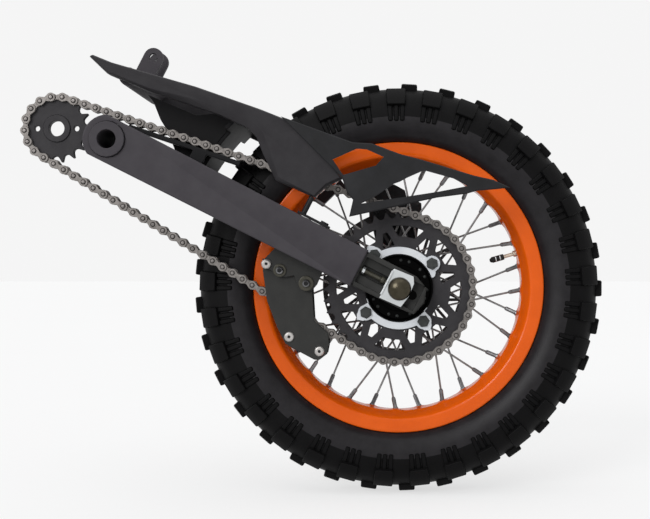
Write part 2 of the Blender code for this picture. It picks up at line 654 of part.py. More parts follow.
def build_axle_block(label, side):
    """Plate round the axle on the dropout's rails, its front edge folded into the channel."""
    outer = dropout_outer() + GAP + BLOCK_THICKNESS
    outline = [AXLE_PLACE + ALONG * (u * BLOCK_LENGTH) + ABOVE * (n * BLOCK_HEIGHT) for u, n in BLOCK_SHARES]
    low, high = side_span(side, dropout_outer() + GAP, outer)
    block = add_object("axle_block_" + label, prism("axle_block_" + label, outline, low, high), ZINC)
    lip = rectangle(ALONG * block_front_u(), ALONG, ABOVE, BLOCK_LIP_THICKNESS,
                    2.0 * (POCKET_HALF_HEIGHT - GAP))
    span = side_span(side, dropout_outer() - POCKET_DEPTH + GAP, outer + BLOCK_LIP_RISE)
    combine(block, "block_lip_" + label, prism("block_lip", lip, *span), "UNION")
    hole = prism("block_hole", circle_points(AXLE_PLACE, AXLE_RADIUS + GAP, ROUND_SEGMENTS),
                 low - OVERRUN, high + OVERRUN)
    combine(block, "block_hole_" + label, hole)


def block_front_u():
    return ARM_LENGTH + BLOCK_SHARES[0][0] * BLOCK_LENGTH


def build_adjuster(label, side):
    """Bolt in the dropout's groove, its head at the spar's end and its tip and nut on the axle block."""
    y = side * (groove_floor() + GAP + ADJUSTER_HEAD_RADIUS)
    start = dropout_shoulder() + 2.0 * POCKET_WALL + GAP
    length = block_front_u() - BLOCK_LIP_THICKNESS / 2.0 - GAP - start
    nut = length - ADJUSTER_NUT_INSET
    profile = ((0.0, 0.0), (ADJUSTER_HEAD_RADIUS, 0.0), (ADJUSTER_HEAD_RADIUS, ADJUSTER_HEAD_LENGTH),
               (ADJUSTER_RADIUS, ADJUSTER_HEAD_LENGTH), (ADJUSTER_RADIUS, nut - ADJUSTER_HEAD_LENGTH),
               (ADJUSTER_HEAD_RADIUS, nut - ADJUSTER_HEAD_LENGTH), (ADJUSTER_HEAD_RADIUS, nut),
               (ADJUSTER_RADIUS, nut), (ADJUSTER_RADIUS, length), (0.0, length))
    bolt = add_object("adjuster_" + label, turned("adjuster_" + label, profile, HEX_SEGMENTS), ZINC,
                      place=ALONG * start + Vector((0.0, y, 0.0)))
    bolt.rotation_euler = Vector((0.0, 1.0, 0.0)).rotation_difference(ALONG).to_euler()


def axle_seat():
    """Distance of the axle's head from the mid-plane, on the axle block."""
    return dropout_outer() + 2.0 * GAP + BLOCK_THICKNESS


def build_axle():
    """Axle with a domed head on the left and a bare end through the nut on the right."""
    seat = axle_seat()
    tail = seat + NUT_HEIGHT + AXLE_TAIL
    profile = [(0.0, tail), (AXLE_RADIUS, tail), (AXLE_RADIUS, -seat), (DOME_RADIUS, -seat)]
    rings = HEX_SEGMENTS
    for i in range(1, rings):
        turn = math.pi / 2.0 * i / rings
        profile.append((DOME_RADIUS * math.cos(turn), -seat - DOME_HEIGHT * math.sin(turn)))
    profile.append((0.0, -seat - DOME_HEIGHT))
    add_object("axle", turned("axle", profile, ROUND_SEGMENTS), BRONZE_STEEL, place=AXLE_PLACE)


def build_axle_nut():
    low = axle_seat()
    nut = add_object("axle_nut", prism("axle_nut", circle_points(AXLE_PLACE, NUT_RADIUS, HEX_SEGMENTS),
                                       low, low + NUT_HEIGHT), ZINC)
    hole = prism("nut_hole", circle_points(AXLE_PLACE, AXLE_RADIUS + GAP, ROUND_SEGMENTS),
                 low - OVERRUN, low + NUT_HEIGHT + OVERRUN)
    combine(nut, "nut_hole", hole)


def build_spacer(label, side):
    end = dropout_outer() - DROPOUT_THICKNESS - GAP
    start = HUB_END_Y + GAP if side < 0.0 else BRACKET_Y + BRACKET_THICKNESS + GAP
    profile = ring_profile(AXLE_RADIUS + GAP, SPACER_RADIUS, *side_span(side, start, end))
    add_object("wheel_spacer_" + label, turned("wheel_spacer_" + label, profile, ROUND_SEGMENTS), ZINC,
               place=AXLE_PLACE)


def tyre_section():
    """Outer half of the tyre's section from bead to tread, as (radius, distance from the mid-plane)."""
    bead = RIM_SEAT_RADIUS + GAP
    edge = RIM_HALF_WIDTH - RIM_WALL - GAP
    height = TYRE_RADIUS - RIM_RADIUS
    section = [(bead, edge), (RIM_RADIUS + GAP, edge)]
    section += [(RIM_RADIUS + r * height, y * TYRE_HALF_WIDTH) for r, y in TYRE_BULGE_SHARES[:-1]]
    section.append((TYRE_RADIUS - LUG_HEIGHT, TYRE_BULGE_SHARES[-1][1] * TYRE_HALF_WIDTH))
    return section


def raise_lug(work, face):
    """Lifts one face of the tread off the carcass as a tapered block."""
    centre = face.calc_center_median()
    lift = face.normal * LUG_HEIGHT
    low = list(face.verts)
    high = [work.verts.new(centre + (vert.co - centre) * LUG_TAPER_SHARE + lift) for vert in low]
    work.faces.remove(face)
    work.faces.new(high)
    for i in range(len(low)):
        j = (i + 1) % len(low)
        work.faces.new((low[i], low[j], high[j], high[i]))


def build_tyre():
    """Open carcass, bead to bead, with a row of tread lugs and shoulder lugs between them."""
    half = tyre_section()
    cavity_radius = RIM_RADIUS + TYRE_CAVITY_SHARES[0] * (TYRE_RADIUS - RIM_RADIUS)
    cavity_y = TYRE_CAVITY_SHARES[1] * TYRE_HALF_WIDTH
    bead_radius, bead_y = half[0]
    outside = [(r, -y) for r, y in half] + half[::-1]
    inside = [(bead_radius, bead_y - TYRE_WALL), (cavity_radius, cavity_y),
              (cavity_radius, -cavity_y), (bead_radius, TYRE_WALL - bead_y)]
    work = bmesh.new()
    rows = turn_profile(work, outside + inside, TYRE_SEGMENTS, FIRST_LUG_ANGLE)
    bmesh.ops.recalc_face_normals(work, faces=work.faces)
    tread = len(half) - 1
    lugs = rows[tread][0::2] + rows[tread - 1][1::2] + rows[tread + 1][1::2]
    for face in lugs:
        raise_lug(work, face)
    add_object("tyre", finish_mesh("tyre", work), RUBBER, parent=WHEEL_AXIS)


def build_rim():
    """Drop-centre rim with upright lips that lean outwards."""
    half = [(RIM_RADIUS, RIM_HALF_WIDTH), (RIM_RADIUS, RIM_HALF_WIDTH - RIM_WALL),
            (RIM_SEAT_RADIUS, RIM_HALF_WIDTH - RIM_WALL), (RIM_WELL_RADIUS + RIM_WALL, RIM_WELL_HALF_WIDTH)]
    under = [(RIM_WELL_RADIUS, RIM_WELL_HALF_WIDTH),
             (RIM_SEAT_RADIUS - RIM_WALL, RIM_HALF_WIDTH - RIM_LIP_LEAN)]
    loop = [(r, -y) for r, y in half] + half[::-1] + [(r, y) for r, y in under[::-1]]
    loop += [(r, -y) for r, y in under]
    add_object("rim", turned("rim", loop, RIM_SEGMENTS, FIRST_LUG_ANGLE), RIM_PAINT, parent=WHEEL_AXIS)


def hub_profile():
    """Sprocket cup and seat on the left, barrel, spoke flange and disc seat on the right."""
    seat = CHAIN_Y + TOOTH_WIDTH / 2.0 + GAP
    seat_radius = BOLT_CIRCLE_RADIUS + RING_BOSS_RADIUS
    flange_in = HUB_FLANGE_Y - HUB_FLANGE_THICKNESS
    disc_seat = DISC_Y - DISC_THICKNESS / 2.0 - GAP
    left = [(HUB_BORE_RADIUS, -HUB_END_Y), (HUB_BOSS_RADIUS, -HUB_END_Y), (HUB_BOSS_RADIUS, -CUP_FLOOR_Y),
            (CUP_RADIUS - CUP_WALL, -CUP_FLOOR_Y), (CUP_RADIUS - CUP_WALL, -CUP_RIM_Y), (CUP_RADIUS, -CUP_RIM_Y),
            (CUP_RADIUS, seat), (seat_radius, seat), (seat_radius, seat + HUB_FLANGE_THICKNESS),
            (HUB_RADIUS, seat + 2.0 * HUB_FLANGE_THICKNESS)]
    right = [(HUB_RADIUS, flange_in), (HUB_FLANGE_RADIUS, flange_in), (HUB_FLANGE_RADIUS, HUB_FLANGE_Y),
             (HUB_RADIUS, HUB_FLANGE_Y), (HUB_RADIUS, disc_seat - HUB_FLANGE_THICKNESS),
             (DISC_CARRIER_RADIUS, disc_seat - HUB_FLANGE_THICKNESS), (DISC_CARRIER_RADIUS, disc_seat),
             (HUB_BOSS_RADIUS, disc_seat), (HUB_BOSS_RADIUS, HUB_END_Y), (HUB_BORE_RADIUS, HUB_END_Y)]
    return left + right


def spoke_ends(index):
    """Start in the flange and end at the rim's well of one spoke; those that cross lie on its two faces."""
    side = -1.0 if index % 2 == 0 else 1.0
    turn = 1.0 if (index // 2) % 2 == 0 else -1.0
    angle = FIRST_SPOKE_ANGLE + 2.0 * math.pi * index / SPOKE_COUNT
    start = direction(angle + turn * SPOKE_LEAN) * SPOKE_HOLE_RADIUS
    start.y = HUB_FLANGE_Y - HUB_FLANGE_THICKNESS / 2.0 + turn * SPOKE_SPREAD
    if side < 0.0:
        start.y = CHAIN_Y + TOOTH_WIDTH / 2.0 + HUB_FLANGE_THICKNESS - turn * SPOKE_SPREAD
    end = direction(angle) * (RIM_WELL_FLAT - SPOKE_RADIUS / 2.0 - GAP)
    end.y = side * RIM_WELL_HALF_WIDTH / 2.0
    return start, end


def build_spokes():
    work = bmesh.new()
    for index in range(SPOKE_COUNT):
        start, end = spoke_ends(index)
        along = end - start
        turn = Vector((0.0, 0.0, 1.0)).rotation_difference(along)
        place = Matrix.Translation((start + end) / 2.0) @ turn.to_matrix().to_4x4()
        bmesh.ops.create_cone(work, cap_ends=True, segments=SPOKE_SEGMENTS, radius1=SPOKE_RADIUS,
                              radius2=SPOKE_RADIUS, depth=along.length, matrix=place)
    return finish_mesh("spokes", work)


def build_hub():
    hub = add_object("hub_and_spokes", turned("hub_and_spokes", hub_profile(), ROUND_SEGMENTS), HUB_PAINT,
                     parent=WHEEL_AXIS)
    combine(hub, "spokes", build_spokes(), "UNION", WHEEL_AXIS)
    hub.modifiers[-1].use_self = True


def sprocket_outline(teeth, pitch_radius, first_valley):
    """Valley, flank and tip points of each tooth, the valleys where the chain's rollers sit."""
    step = 2.0 * math.pi / teeth
    valley = pitch_radius - ROLLER_RADIUS
    height = ROLLER_RADIUS * (1.0 + TOOTH_TIP_SHARE)
    return [direction(first_valley + (tooth + turn) * step) * (valley + rise * height)
            for tooth in range(teeth) for turn, rise in TOOTH_SHARES]


def tangent_normals():
    """Headings, from either sprocket's centre, of the points where the upper and the lower run leave it."""
    lean = math.asin((REAR_PITCH_RADIUS - FRONT_PITCH_RADIUS) / (AXLE_PLACE - FRONT_PLACE).length)
    back = AXLE_PLACE - FRONT_PLACE
    heading = math.atan2(back.z, back.x)
    return heading + math.pi / 2.0 + lean, heading - math.pi / 2.0 - lean


def window_points(centre_angle, corners):
    return [direction(centre_angle + angle) * radius for radius, angle in corners]


def window_cutter(name, outlines, low_y, high_y):
    """One mesh of separate prisms, to cut many windows at once."""
    work = bmesh.new()
    for points in outlines:
        bottom = [work.verts.new((point.x, low_y, point.z)) for point in points]
        grown = bmesh.ops.extrude_face_region(work, geom=[work.faces.new(bottom)])
        lifted = [item for item in grown["geom"] if isinstance(item, bmesh.types.BMVert)]
        bmesh.ops.translate(work, verts=lifted, vec=(0.0, high_y - low_y, 0.0))
    return finish_mesh(name, work)


def sprocket_windows():
    """Outlines of a ring of wide windows, with a smaller one inside each Y-shaped web between them."""
    outer = REAR_PITCH_RADIUS - ROLLER_RADIUS - WINDOW_BAND
    inner = BOLT_CIRCLE_RADIUS + RING_BOSS_RADIUS + WINDOW_BOSS_MARGIN
    foot = CUP_RADIUS + GAP + RING_WIDTH + FORK_RING_MARGIN
    rim = [(outer, WINDOW_HALF_ANGLE * (2.0 * i / (WINDOW_ARC_POINTS - 1) - 1.0))
           for i in range(WINDOW_ARC_POINTS)]
    wide = rim + [(inner, WINDOW_FOOT_ANGLE), (inner, -WINDOW_FOOT_ANGLE)]
    fork = [(foot, -FORK_FOOT_ANGLE), (outer - FORK_STEM, -FORK_TIP_ANGLE), (outer - FORK_STEM, FORK_TIP_ANGLE),
            (foot, FORK_FOOT_ANGLE)]
    step = 2.0 * math.pi / WINDOW_COUNT
    outlines = [window_points(BOLT_FIRST_ANGLE + step * index, wide) for index in range(WINDOW_COUNT)]
    for index in range(WINDOW_COUNT):
        outlines.append(window_points(BOLT_FIRST_ANGLE + step * (index + 0.5), fork))
    return outlines


def build_rear_sprocket():
    low, high = CHAIN_Y - TOOTH_WIDTH / 2.0, CHAIN_Y + TOOTH_WIDTH / 2.0
    first_valley = tangent_normals()[0] - 2.0 * math.pi * CHAIN_START_SHARE / REAR_TEETH
    outline = sprocket_outline(REAR_TEETH, REAR_PITCH_RADIUS, first_valley)
    plate = add_object("rear_sprocket", prism("rear_sprocket", outline, low, high), SPROCKET_STEEL,
                       parent=WHEEL_AXIS)
    bore = prism("sprocket_bore", circle_points(Vector(), CUP_RADIUS + GAP, ROUND_SEGMENTS),
                 low - OVERRUN, high + OVERRUN)
    combine(plate, "sprocket_bore", bore, parent=WHEEL_AXIS)
    cutter = window_cutter("sprocket_windows", sprocket_windows(), low - OVERRUN, high + OVERRUN)
    combine(plate, "sprocket_windows", cutter, parent=WHEEL_AXIS)


def build_lock_plate(label, middle):
    """Bright plate that clamps the sprocket to the hub under two bolts, with a tab beyond each of them."""
    inner = CUP_RADIUS + GAP
    low = SPROCKET_FACE - RING_THICKNESS
    half = math.pi / BOLT_COUNT
    band = arc_points(Vector(), inner + RING_WIDTH, LOCK_ARC_POINTS, middle - half, 2.0 * half)
    band += arc_points(Vector(), inner - RING_THICKNESS, LOCK_ARC_POINTS, middle + half, -2.0 * half)
    name = "lock_plate_" + label
    plate = add_object(name, prism(name, band, low, SPROCKET_FACE), RING_ALLOY, parent=WHEEL_AXIS)
    for end in (-1.0, 1.0):
        angle = middle + end * half
        out, across = direction(angle), direction(angle + math.pi / 2.0)
        place = out * BOLT_CIRCLE_RADIUS
        boss = prism("boss", circle_points(place, RING_BOSS_RADIUS, SMALL_SEGMENTS), low, SPROCKET_FACE)
        combine(plate, "boss_%s_%d" % (label, end), boss, "UNION", WHEEL_AXIS)
        tip = place + out * (RING_BOSS_RADIUS + LOCK_TAB_REACH)
        tab = [place - across * RING_BOSS_RADIUS * LOCK_TAB_FOOT_SHARE, tip - across * LOCK_TAB_REACH,
               tip + across * LOCK_TAB_REACH, place + across * RING_BOSS_RADIUS * LOCK_TAB_FOOT_SHARE]
        tab = prism("tab", tab, low, SPROCKET_FACE)
        combine(plate, "tab_%s_%d" % (label, end), tab, "UNION", WHEEL_AXIS)
        head = prism("bolt", circle_points(place, BOLT_HEAD_RADIUS, HEX_SEGMENTS, angle),
                     low - BOLT_HEAD_HEIGHT, SPROCKET_FACE - RING_THICKNESS / 2.0)
        combine(plate, "bolt_%s_%d" % (label, end), head, "UNION", WHEEL_AXIS)
    bore = prism("plate_bore", circle_points(Vector(), inner, ROUND_SEGMENTS), low - BOLT_HEAD_HEIGHT - OVERRUN,
                 SPROCKET_FACE + OVERRUN)
    combine(plate, "plate_bore_" + label, bore, parent=WHEEL_AXIS)


def build_lock_plates():
    first = BOLT_FIRST_ANGLE + math.pi / BOLT_COUNT
    build_lock_plate("upper", first)
    build_lock_plate("lower", first + math.pi)


def front_valley_angle():
    """Heading of the first pin that lies on the front sprocket, so that its teeth fall between the pins."""
    first, pin, out = next(item for item in enumerate_pins() if item[0] == "front")
    return math.atan2(out.z, out.x)


def build_front_sprocket():
    half = TOOTH_WIDTH / 2.0
    outline = sprocket_outline(FRONT_TEETH, FRONT_PITCH_RADIUS, front_valley_angle())
    plate = add_object("front_sprocket", prism("front_sprocket", outline, CHAIN_Y - half, CHAIN_Y + half),
                       SPROCKET_STEEL, parent=FRONT_AXIS)
    boss = prism("front_boss", circle_points(Vector(), FRONT_BOSS_RADIUS, ROUND_SEGMENTS),
                 CHAIN_Y - FRONT_BOSS_WIDTH / 2.0, CHAIN_Y + FRONT_BOSS_WIDTH / 2.0)
    combine(plate, "front_boss", boss, "UNION", FRONT_AXIS)
    bore = prism("front_bore", circle_points(Vector(), FRONT_BORE_RADIUS, ROUND_SEGMENTS),
                 CHAIN_Y - FRONT_BOSS_WIDTH, CHAIN_Y + FRONT_BOSS_WIDTH)
    combine(plate, "front_bore", bore, parent=FRONT_AXIS)
    for label, side in mirrored_sides():
        place = Vector((side * FRONT_LOCK_CIRCLE_RADIUS, 0.0, 0.0))
        hole = prism("lock_hole", circle_points(place, FRONT_LOCK_HOLE_RADIUS, SMALL_SEGMENTS),
                     CHAIN_Y - FRONT_BOSS_WIDTH, CHAIN_Y + FRONT_BOSS_WIDTH)
        combine(plate, "lock_hole_" + label, hole, parent=FRONT_AXIS)


def enumerate_pins():
    """Each pin of the chain in turn, as the stretch that it lies on, its place and its outward direction."""
    upper, lower = tangent_normals()
    wrap = upper - lower
    spread = (AXLE_PLACE - FRONT_PLACE).length
    run = math.sqrt(spread ** 2 - (REAR_PITCH_RADIUS - FRONT_PITCH_RADIUS) ** 2)
    rear_arc = REAR_PITCH_RADIUS * wrap
    front_arc = FRONT_PITCH_RADIUS * (2.0 * math.pi - wrap)
    step = (rear_arc + front_arc + 2.0 * run) / CHAIN_LINKS
    pins = []
    for index in range(CHAIN_LINKS):
        distance = (index + CHAIN_START_SHARE) * step
        if distance < rear_arc:
            out = direction(upper - distance / REAR_PITCH_RADIUS)
            pins.append(("rear", AXLE_PLACE + out * REAR_PITCH_RADIUS, out))
            continue
        distance -= rear_arc
        if distance < run:
            out = direction(lower)
            start, end = AXLE_PLACE + out * REAR_PITCH_RADIUS, FRONT_PLACE + out * FRONT_PITCH_RADIUS
            pins.append(("lower", start.lerp(end, distance / run), out))
            continue
        distance -= run
        if distance < front_arc:
            out = direction(lower - distance / FRONT_PITCH_RADIUS)
            pins.append(("front", FRONT_PLACE + out * FRONT_PITCH_RADIUS, out))
            continue
        distance -= front_arc
        out = direction(upper)
        start, end = FRONT_PLACE + out * FRONT_PITCH_RADIUS, AXLE_PLACE + out * REAR_PITCH_RADIUS
        pins.append(("upper", start.lerp(end, distance / run), out))
    return pins


def chain_ring(work, place, out, half, near_y, far_y):
    inner, outer = place - out * half, place + out * half
    return [work.verts.new((point.x, y, point.z))
            for point, y in ((inner, near_y), (outer, near_y), (outer, far_y), (inner, far_y))]


def chain_rail(work, pins, side):
    """Closed row of side plates, wide at the pins and waisted between them, inner and outer plates by turns."""
    layers = [CHAIN_Y + side * (CHAIN_INSIDE_WIDTH / 2.0 + CHAIN_PLATE_THICKNESS * layer)
              for layer in range(3)]
    half = CHAIN_PLATE_HEIGHT / 2.0
    rings = []
    for index, (stretch, place, out) in enumerate(pins):
        other_stretch, next_place, next_out = pins[(index + 1) % len(pins)]
        near = layers[index % 2]
        rings.append(chain_ring(work, place, out, half, layers[0], layers[2]))
        rings.append(chain_ring(work, (place + next_place) / 2.0, (out + next_out).normalized(),
                                half * CHAIN_WAIST_SHARE, near, near + side * CHAIN_PLATE_THICKNESS))
    for index, ring in enumerate(rings):
        following = rings[(index + 1) % len(rings)]
        for i in range(len(ring)):
            j = (i + 1) % len(ring)
            work.faces.new((ring[i], ring[j], following[j], following[i]))


def build_chain():
    """Two rows of side plates round both sprockets, joined by rollers on the straight runs alone."""
    pins = enumerate_pins()
    work = bmesh.new()
    for label, side in mirrored_sides():
        chain_rail(work, pins, side)
    chain = add_object("chain", finish_mesh("chain", work), CHAIN_STEEL)
    rollers = bmesh.new()
    upright = Matrix.Rotation(math.pi / 2.0, 4, "X")
    for stretch in ("lower", "upper"):
        places = [place for name, place, out in pins if name == stretch]
        for place in places[CHAIN_PIN_EVERY // 2:-CHAIN_PIN_EVERY // 2:CHAIN_PIN_EVERY]:
            turn = Matrix.Translation(place + Vector((0.0, CHAIN_Y, 0.0))) @ upright
            bmesh.ops.create_cone(rollers, cap_ends=True, segments=HEX_SEGMENTS, radius1=ROLLER_RADIUS,
                                  radius2=ROLLER_RADIUS, depth=CHAIN_INSIDE_WIDTH + CHAIN_PLATE_THICKNESS,
                                  matrix=turn)
    combine(chain, "chain_rollers", finish_mesh("chain_rollers", rollers), "UNION")


def build_brake_disc():
    """Braking band and carrier in one plate, joined by a lattice of slim struts."""
    low, high = DISC_Y - DISC_THICKNESS / 2.0, DISC_Y + DISC_THICKNESS / 2.0
    profile = ring_profile(HUB_BOSS_RADIUS + GAP, DISC_RADIUS, low, high)
    disc = add_object("brake_disc", turned("brake_disc", profile, DISC_SEGMENTS), DISC_STEEL,
                      parent=WHEEL_AXIS)
    step = 2.0 * math.pi / LATTICE_COUNT
    reach = LATTICE_OUTER_RADIUS - LATTICE_INNER_RADIUS
    windows = []
    for shares in LATTICE_SHARES:
        corners = [(LATTICE_INNER_RADIUS + rise * reach, turn * step) for rise, turn in shares]
        windows += [window_points(index * step, corners) for index in range(LATTICE_COUNT)]
    cutter = window_cutter("disc_windows", windows, low - OVERRUN, high + OVERRUN)
    combine(disc, "disc_windows", cutter, parent=WHEEL_AXIS)


def build_caliper():
    """Floating caliper over the disc's top, with its piston housing outboard and two pad pins."""
    out = direction(CALIPER_ANGLE)
    across = direction(CALIPER_ANGLE + math.pi / 2.0)
    height = CALIPER_HIGH_RADIUS - CALIPER_LOW_RADIUS
    foot = AXLE_PLACE + out * CALIPER_LOW_RADIUS
    outline = [foot + out * (rise * height) + across * (reach * CALIPER_LENGTH / 2.0)
               for rise, reach in CALIPER_SHARES]
    body = add_object("caliper", chamfered("caliper", outline, CALIPER_INNER_Y, CALIPER_OUTER_Y, CALIPER_CHAMFER),
                      CALIPER_PAINT)
    mouth = circle_points(AXLE_PLACE, CALIPER_MOUTH_RADIUS, DISC_SEGMENTS)
    combine(body, "caliper_mouth", prism("caliper_mouth", mouth, DISC_Y - CALIPER_SLOT / 2.0,
                                         DISC_Y + CALIPER_SLOT / 2.0))
    housing = prism("piston_housing", circle_points(foot + out * (height / 2.0), PISTON_RADIUS, SMALL_SEGMENTS),
                    CALIPER_INNER_Y - PISTON_REACH, CALIPER_INNER_Y + CALIPER_CHAMFER)
    combine(body, "piston_housing", housing, "UNION")
    for label, side in mirrored_sides():
        place = foot + out * (height / 2.0) + across * (side * PAD_PIN_SPACING / 2.0)
        pin = prism("pad_pin", circle_points(place, PAD_PIN_RADIUS, SMALL_SEGMENTS),
                    CALIPER_INNER_Y - PAD_PIN_RADIUS, CALIPER_INNER_Y + CALIPER_CHAMFER)
        combine(body, "pad_pin_" + label, pin, "UNION")


def build_caliper_bracket():
    """Plate on the axle, between spacer and hub, that carries the caliper."""
    out = direction(CALIPER_ANGLE)
    across = direction(CALIPER_ANGLE + math.pi / 2.0)
    half = BRACKET_WIDTH / 2.0
    foot = arc_points(AXLE_PLACE, half, SMALL_SEGMENTS + 1, CALIPER_ANGLE + math.pi / 2.0, math.pi)
    top = AXLE_PLACE + out * (CALIPER_HIGH_RADIUS - half)
    outline = foot + [top - across * (CALIPER_LENGTH / 2.0), top + across * (CALIPER_LENGTH / 2.0)]
    bracket = add_object("caliper_bracket", chamfered("caliper_bracket", outline, BRACKET_Y,
                                                      BRACKET_Y + BRACKET_THICKNESS), BLACK_PAINT)
    hole = prism("bracket_hole", circle_points(AXLE_PLACE, AXLE_RADIUS + GAP, ROUND_SEGMENTS),
                 BRACKET_Y - OVERRUN, BRACKET_Y + BRACKET_THICKNESS + OVERRUN)
    combine(bracket, "bracket_hole", hole)


def build_guard():
    """Fin over the chain on the truss's rear end, with two windows and a flange behind its top edge."""
    face = -SPAR_OUTER_Y - GAP
    outline = [arm_point(u, n, TRUSS_RISE) for u, n in GUARD_SHARES]
    guard = add_object("chain_guard", chamfered("chain_guard", outline, face - GUARD_THICKNESS, face),
                       GUARD_PLASTIC)
    for label, shares in (("guard_slot", GUARD_SLOT_SHARES), ("guard_window", GUARD_WINDOW_SHARES)):
        opening = [arm_point(u, n, TRUSS_RISE) for u, n in shares]
        combine(guard, label, prism(label, opening, face - GUARD_THICKNESS - OVERRUN, face + OVERRUN))
    top = [arm_point(u, n, TRUSS_RISE) - ABOVE * EDGE_CHAMFER for u, n in GUARD_FLANGE_SHARES]
    strip = top + [point - ABOVE * GUARD_FLANGE_THICKNESS for point in top[::-1]]
    flange = prism("guard_flange", strip, face - GUARD_THICKNESS / 2.0, face + GUARD_FLANGE_DEPTH)
    combine(guard, "guard_flange", flange, "UNION")


def build_guide():
    """Two cheeks either side of the lower run, with a rubbing block, on a bracket under the left spar."""
    outline = [arm_point(u, n, GUIDE_DEPTH) for u, n in GUIDE_SHARES]
    for label, side in (("outer", -1.0), ("inner", 1.0)):
        near = CHAIN_Y + side * GUIDE_HALF_WIDTH
        low, high = sorted((near, near + side * GUIDE_PLATE_THICKNESS))
        add_object("chain_guide_" + label, chamfered("chain_guide_" + label, outline, low, high,
                                                     GUIDE_PLATE_THICKNESS / 4.0), GUARD_PLASTIC)
    block = [arm_point(u, n, GUIDE_DEPTH) for u, n in GUIDE_BLOCK_SHARES]
    add_object("chain_guide_block", prism("chain_guide_block", block, CHAIN_Y - GUIDE_HALF_WIDTH + GAP,
                                          CHAIN_Y + GUIDE_HALF_WIDTH - GAP), NYLON)
    plate = [spar_edge(u * ARM_LENGTH, -1.0) for u in GUIDE_BRACKET_TOP_SHARES]
    plate += [arm_point(u, n, GUIDE_DEPTH) for u, n in GUIDE_BRACKET_SHARES]
    outer = CHAIN_Y - GUIDE_HALF_WIDTH - GUIDE_PLATE_THICKNESS - GAP
    add_object("chain_guide_bracket", prism("chain_guide_bracket", plate, outer - GUIDE_BRACKET_THICKNESS, outer),
               BLACK_PAINT)


def build_slider():
    """Nylon strip that the upper run rubs on, with a foot down to the inside of the left spar."""
    out = direction(tangent_normals()[0])
    on_chain = AXLE_PLACE + out * (REAR_PITCH_RADIUS - CHAIN_PLATE_HEIGHT / 2.0 - GAP)
    along = Vector((out.z, 0.0, -out.x))

    def below_chain(u_share):
        return on_chain + along * (ALONG * (u_share * ARM_LENGTH) - on_chain).dot(along)

    first, last = below_chain(SLIDER_FRONT_SHARE), below_chain(SLIDER_REAR_SHARE)
    strip = [first, last, last - out * SLIDER_THICKNESS, first - out * SLIDER_THICKNESS]
    low = -SPAR_OUTER_Y + SPAR_WIDTH + GAP
    high = CHAIN_Y + CHAIN_INSIDE_WIDTH / 2.0 + 2.0 * CHAIN_PLATE_THICKNESS
    slider = add_object("chain_slider", prism("chain_slider", strip, low, high), NYLON)
    top = below_chain(SLIDER_FOOT_SHARE) - out * (SLIDER_THICKNESS / 2.0)
    foot_n = SPAR_DEPTH / 2.0 - SLIDER_FOOT_DROP
    bottom = ALONG * top.dot(ALONG) + ABOVE * foot_n
    half = ALONG * (SLIDER_FOOT_LENGTH / 2.0)
    foot = [top - half, top + half, bottom + half, bottom - half]
    combine(slider, "slider_foot", prism("slider_foot", foot, low, low + SLIDER_FOOT_THICKNESS), "UNION")


def build_stay():
    """Thin rod that steadies the truss's rear corner, on a tab that is bolted to the spar's top."""
    under, corner = [arm_point(u, n, TRUSS_RISE) for u, n, fold in TRUSS_SHARES[8:10]]
    top = corner + (under - corner).normalized() * (2.0 * STAY_RADIUS) - ABOVE * GAP
    rod_u = top.dot(ALONG) + STAY_RADIUS
    y = -SPAR_OUTER_Y + TRUSS_WIDTH / 2.0
    start, end = rod_u - 2.0 * STAY_RADIUS, rod_u - 2.0 * STAY_RADIUS + STAY_TAB_LENGTH
    base = [spar_edge(start, 1.0), spar_edge(end, 1.0)]
    strip = base + [point + ABOVE * STAY_TAB_THICKNESS for point in base[::-1]]
    tab = add_object("stay_rod", prism("stay_rod", strip, y - STAY_TAB_WIDTH / 2.0, y + STAY_TAB_WIDTH / 2.0),
                     BLACK_PAINT)
    foot = spar_edge(rod_u, 1.0) + ABOVE * (STAY_TAB_THICKNESS / 2.0)
    length = (top - foot).dot(ABOVE)
    turn = Matrix.Translation(foot + ABOVE * (length / 2.0) + Vector((0.0, y, 0.0)))
    turn = turn @ Matrix.Rotation(-ARM_TILT, 4, "Y")
    work = bmesh.new()
    bmesh.ops.create_cone(work, cap_ends=True, segments=SMALL_SEGMENTS, radius1=STAY_RADIUS, radius2=STAY_RADIUS,
                          depth=length, matrix=turn)
    combine(tab, "stay_upright", finish_mesh("stay_upright", work), "UNION")
    seat = spar_edge(end - 2.0 * STAY_BOLT_RADIUS + STAY_RADIUS, 1.0) + ABOVE * STAY_TAB_THICKNESS
    turn = Matrix.Translation(seat + Vector((0.0, y, 0.0))) @ Matrix.Rotation(-ARM_TILT, 4, "Y")
    work = bmesh.new()
    bmesh.ops.create_cone(work, cap_ends=True, segments=HEX_SEGMENTS, radius1=STAY_BOLT_RADIUS,
                          radius2=STAY_BOLT_RADIUS, depth=STAY_BOLT_HEIGHT, matrix=turn)
    combine(tab, "stay_bolt", finish_mesh("stay_bolt", work), "UNION")


def build_valve():
    """Valve stem with its nut on the rim's well and its cap."""
    out = direction(VALVE_ANGLE)
    cap = VALVE_LENGTH * VALVE_CAP_SHARE
    nut = VALVE_CAP_RADIUS
    profile = ((0.0, 0.0), (VALVE_NUT_RADIUS, 0.0), (VALVE_NUT_RADIUS, nut), (VALVE_RADIUS, nut),
               (VALVE_RADIUS, VALVE_LENGTH - cap), (VALVE_CAP_RADIUS, VALVE_LENGTH - cap),
               (VALVE_CAP_RADIUS, VALVE_LENGTH - VALVE_RADIUS), (VALVE_RADIUS, VALVE_LENGTH), (0.0, VALVE_LENGTH))
    stem = add_object("valve_stem", turned("valve_stem", profile, SMALL_SEGMENTS), BRASS, parent=WHEEL_AXIS,
                      place=out * (RIM_WELL_FLAT - GAP))
    stem.rotation_euler = Vector((0.0, 1.0, 0.0)).rotation_difference(-out).to_euler()


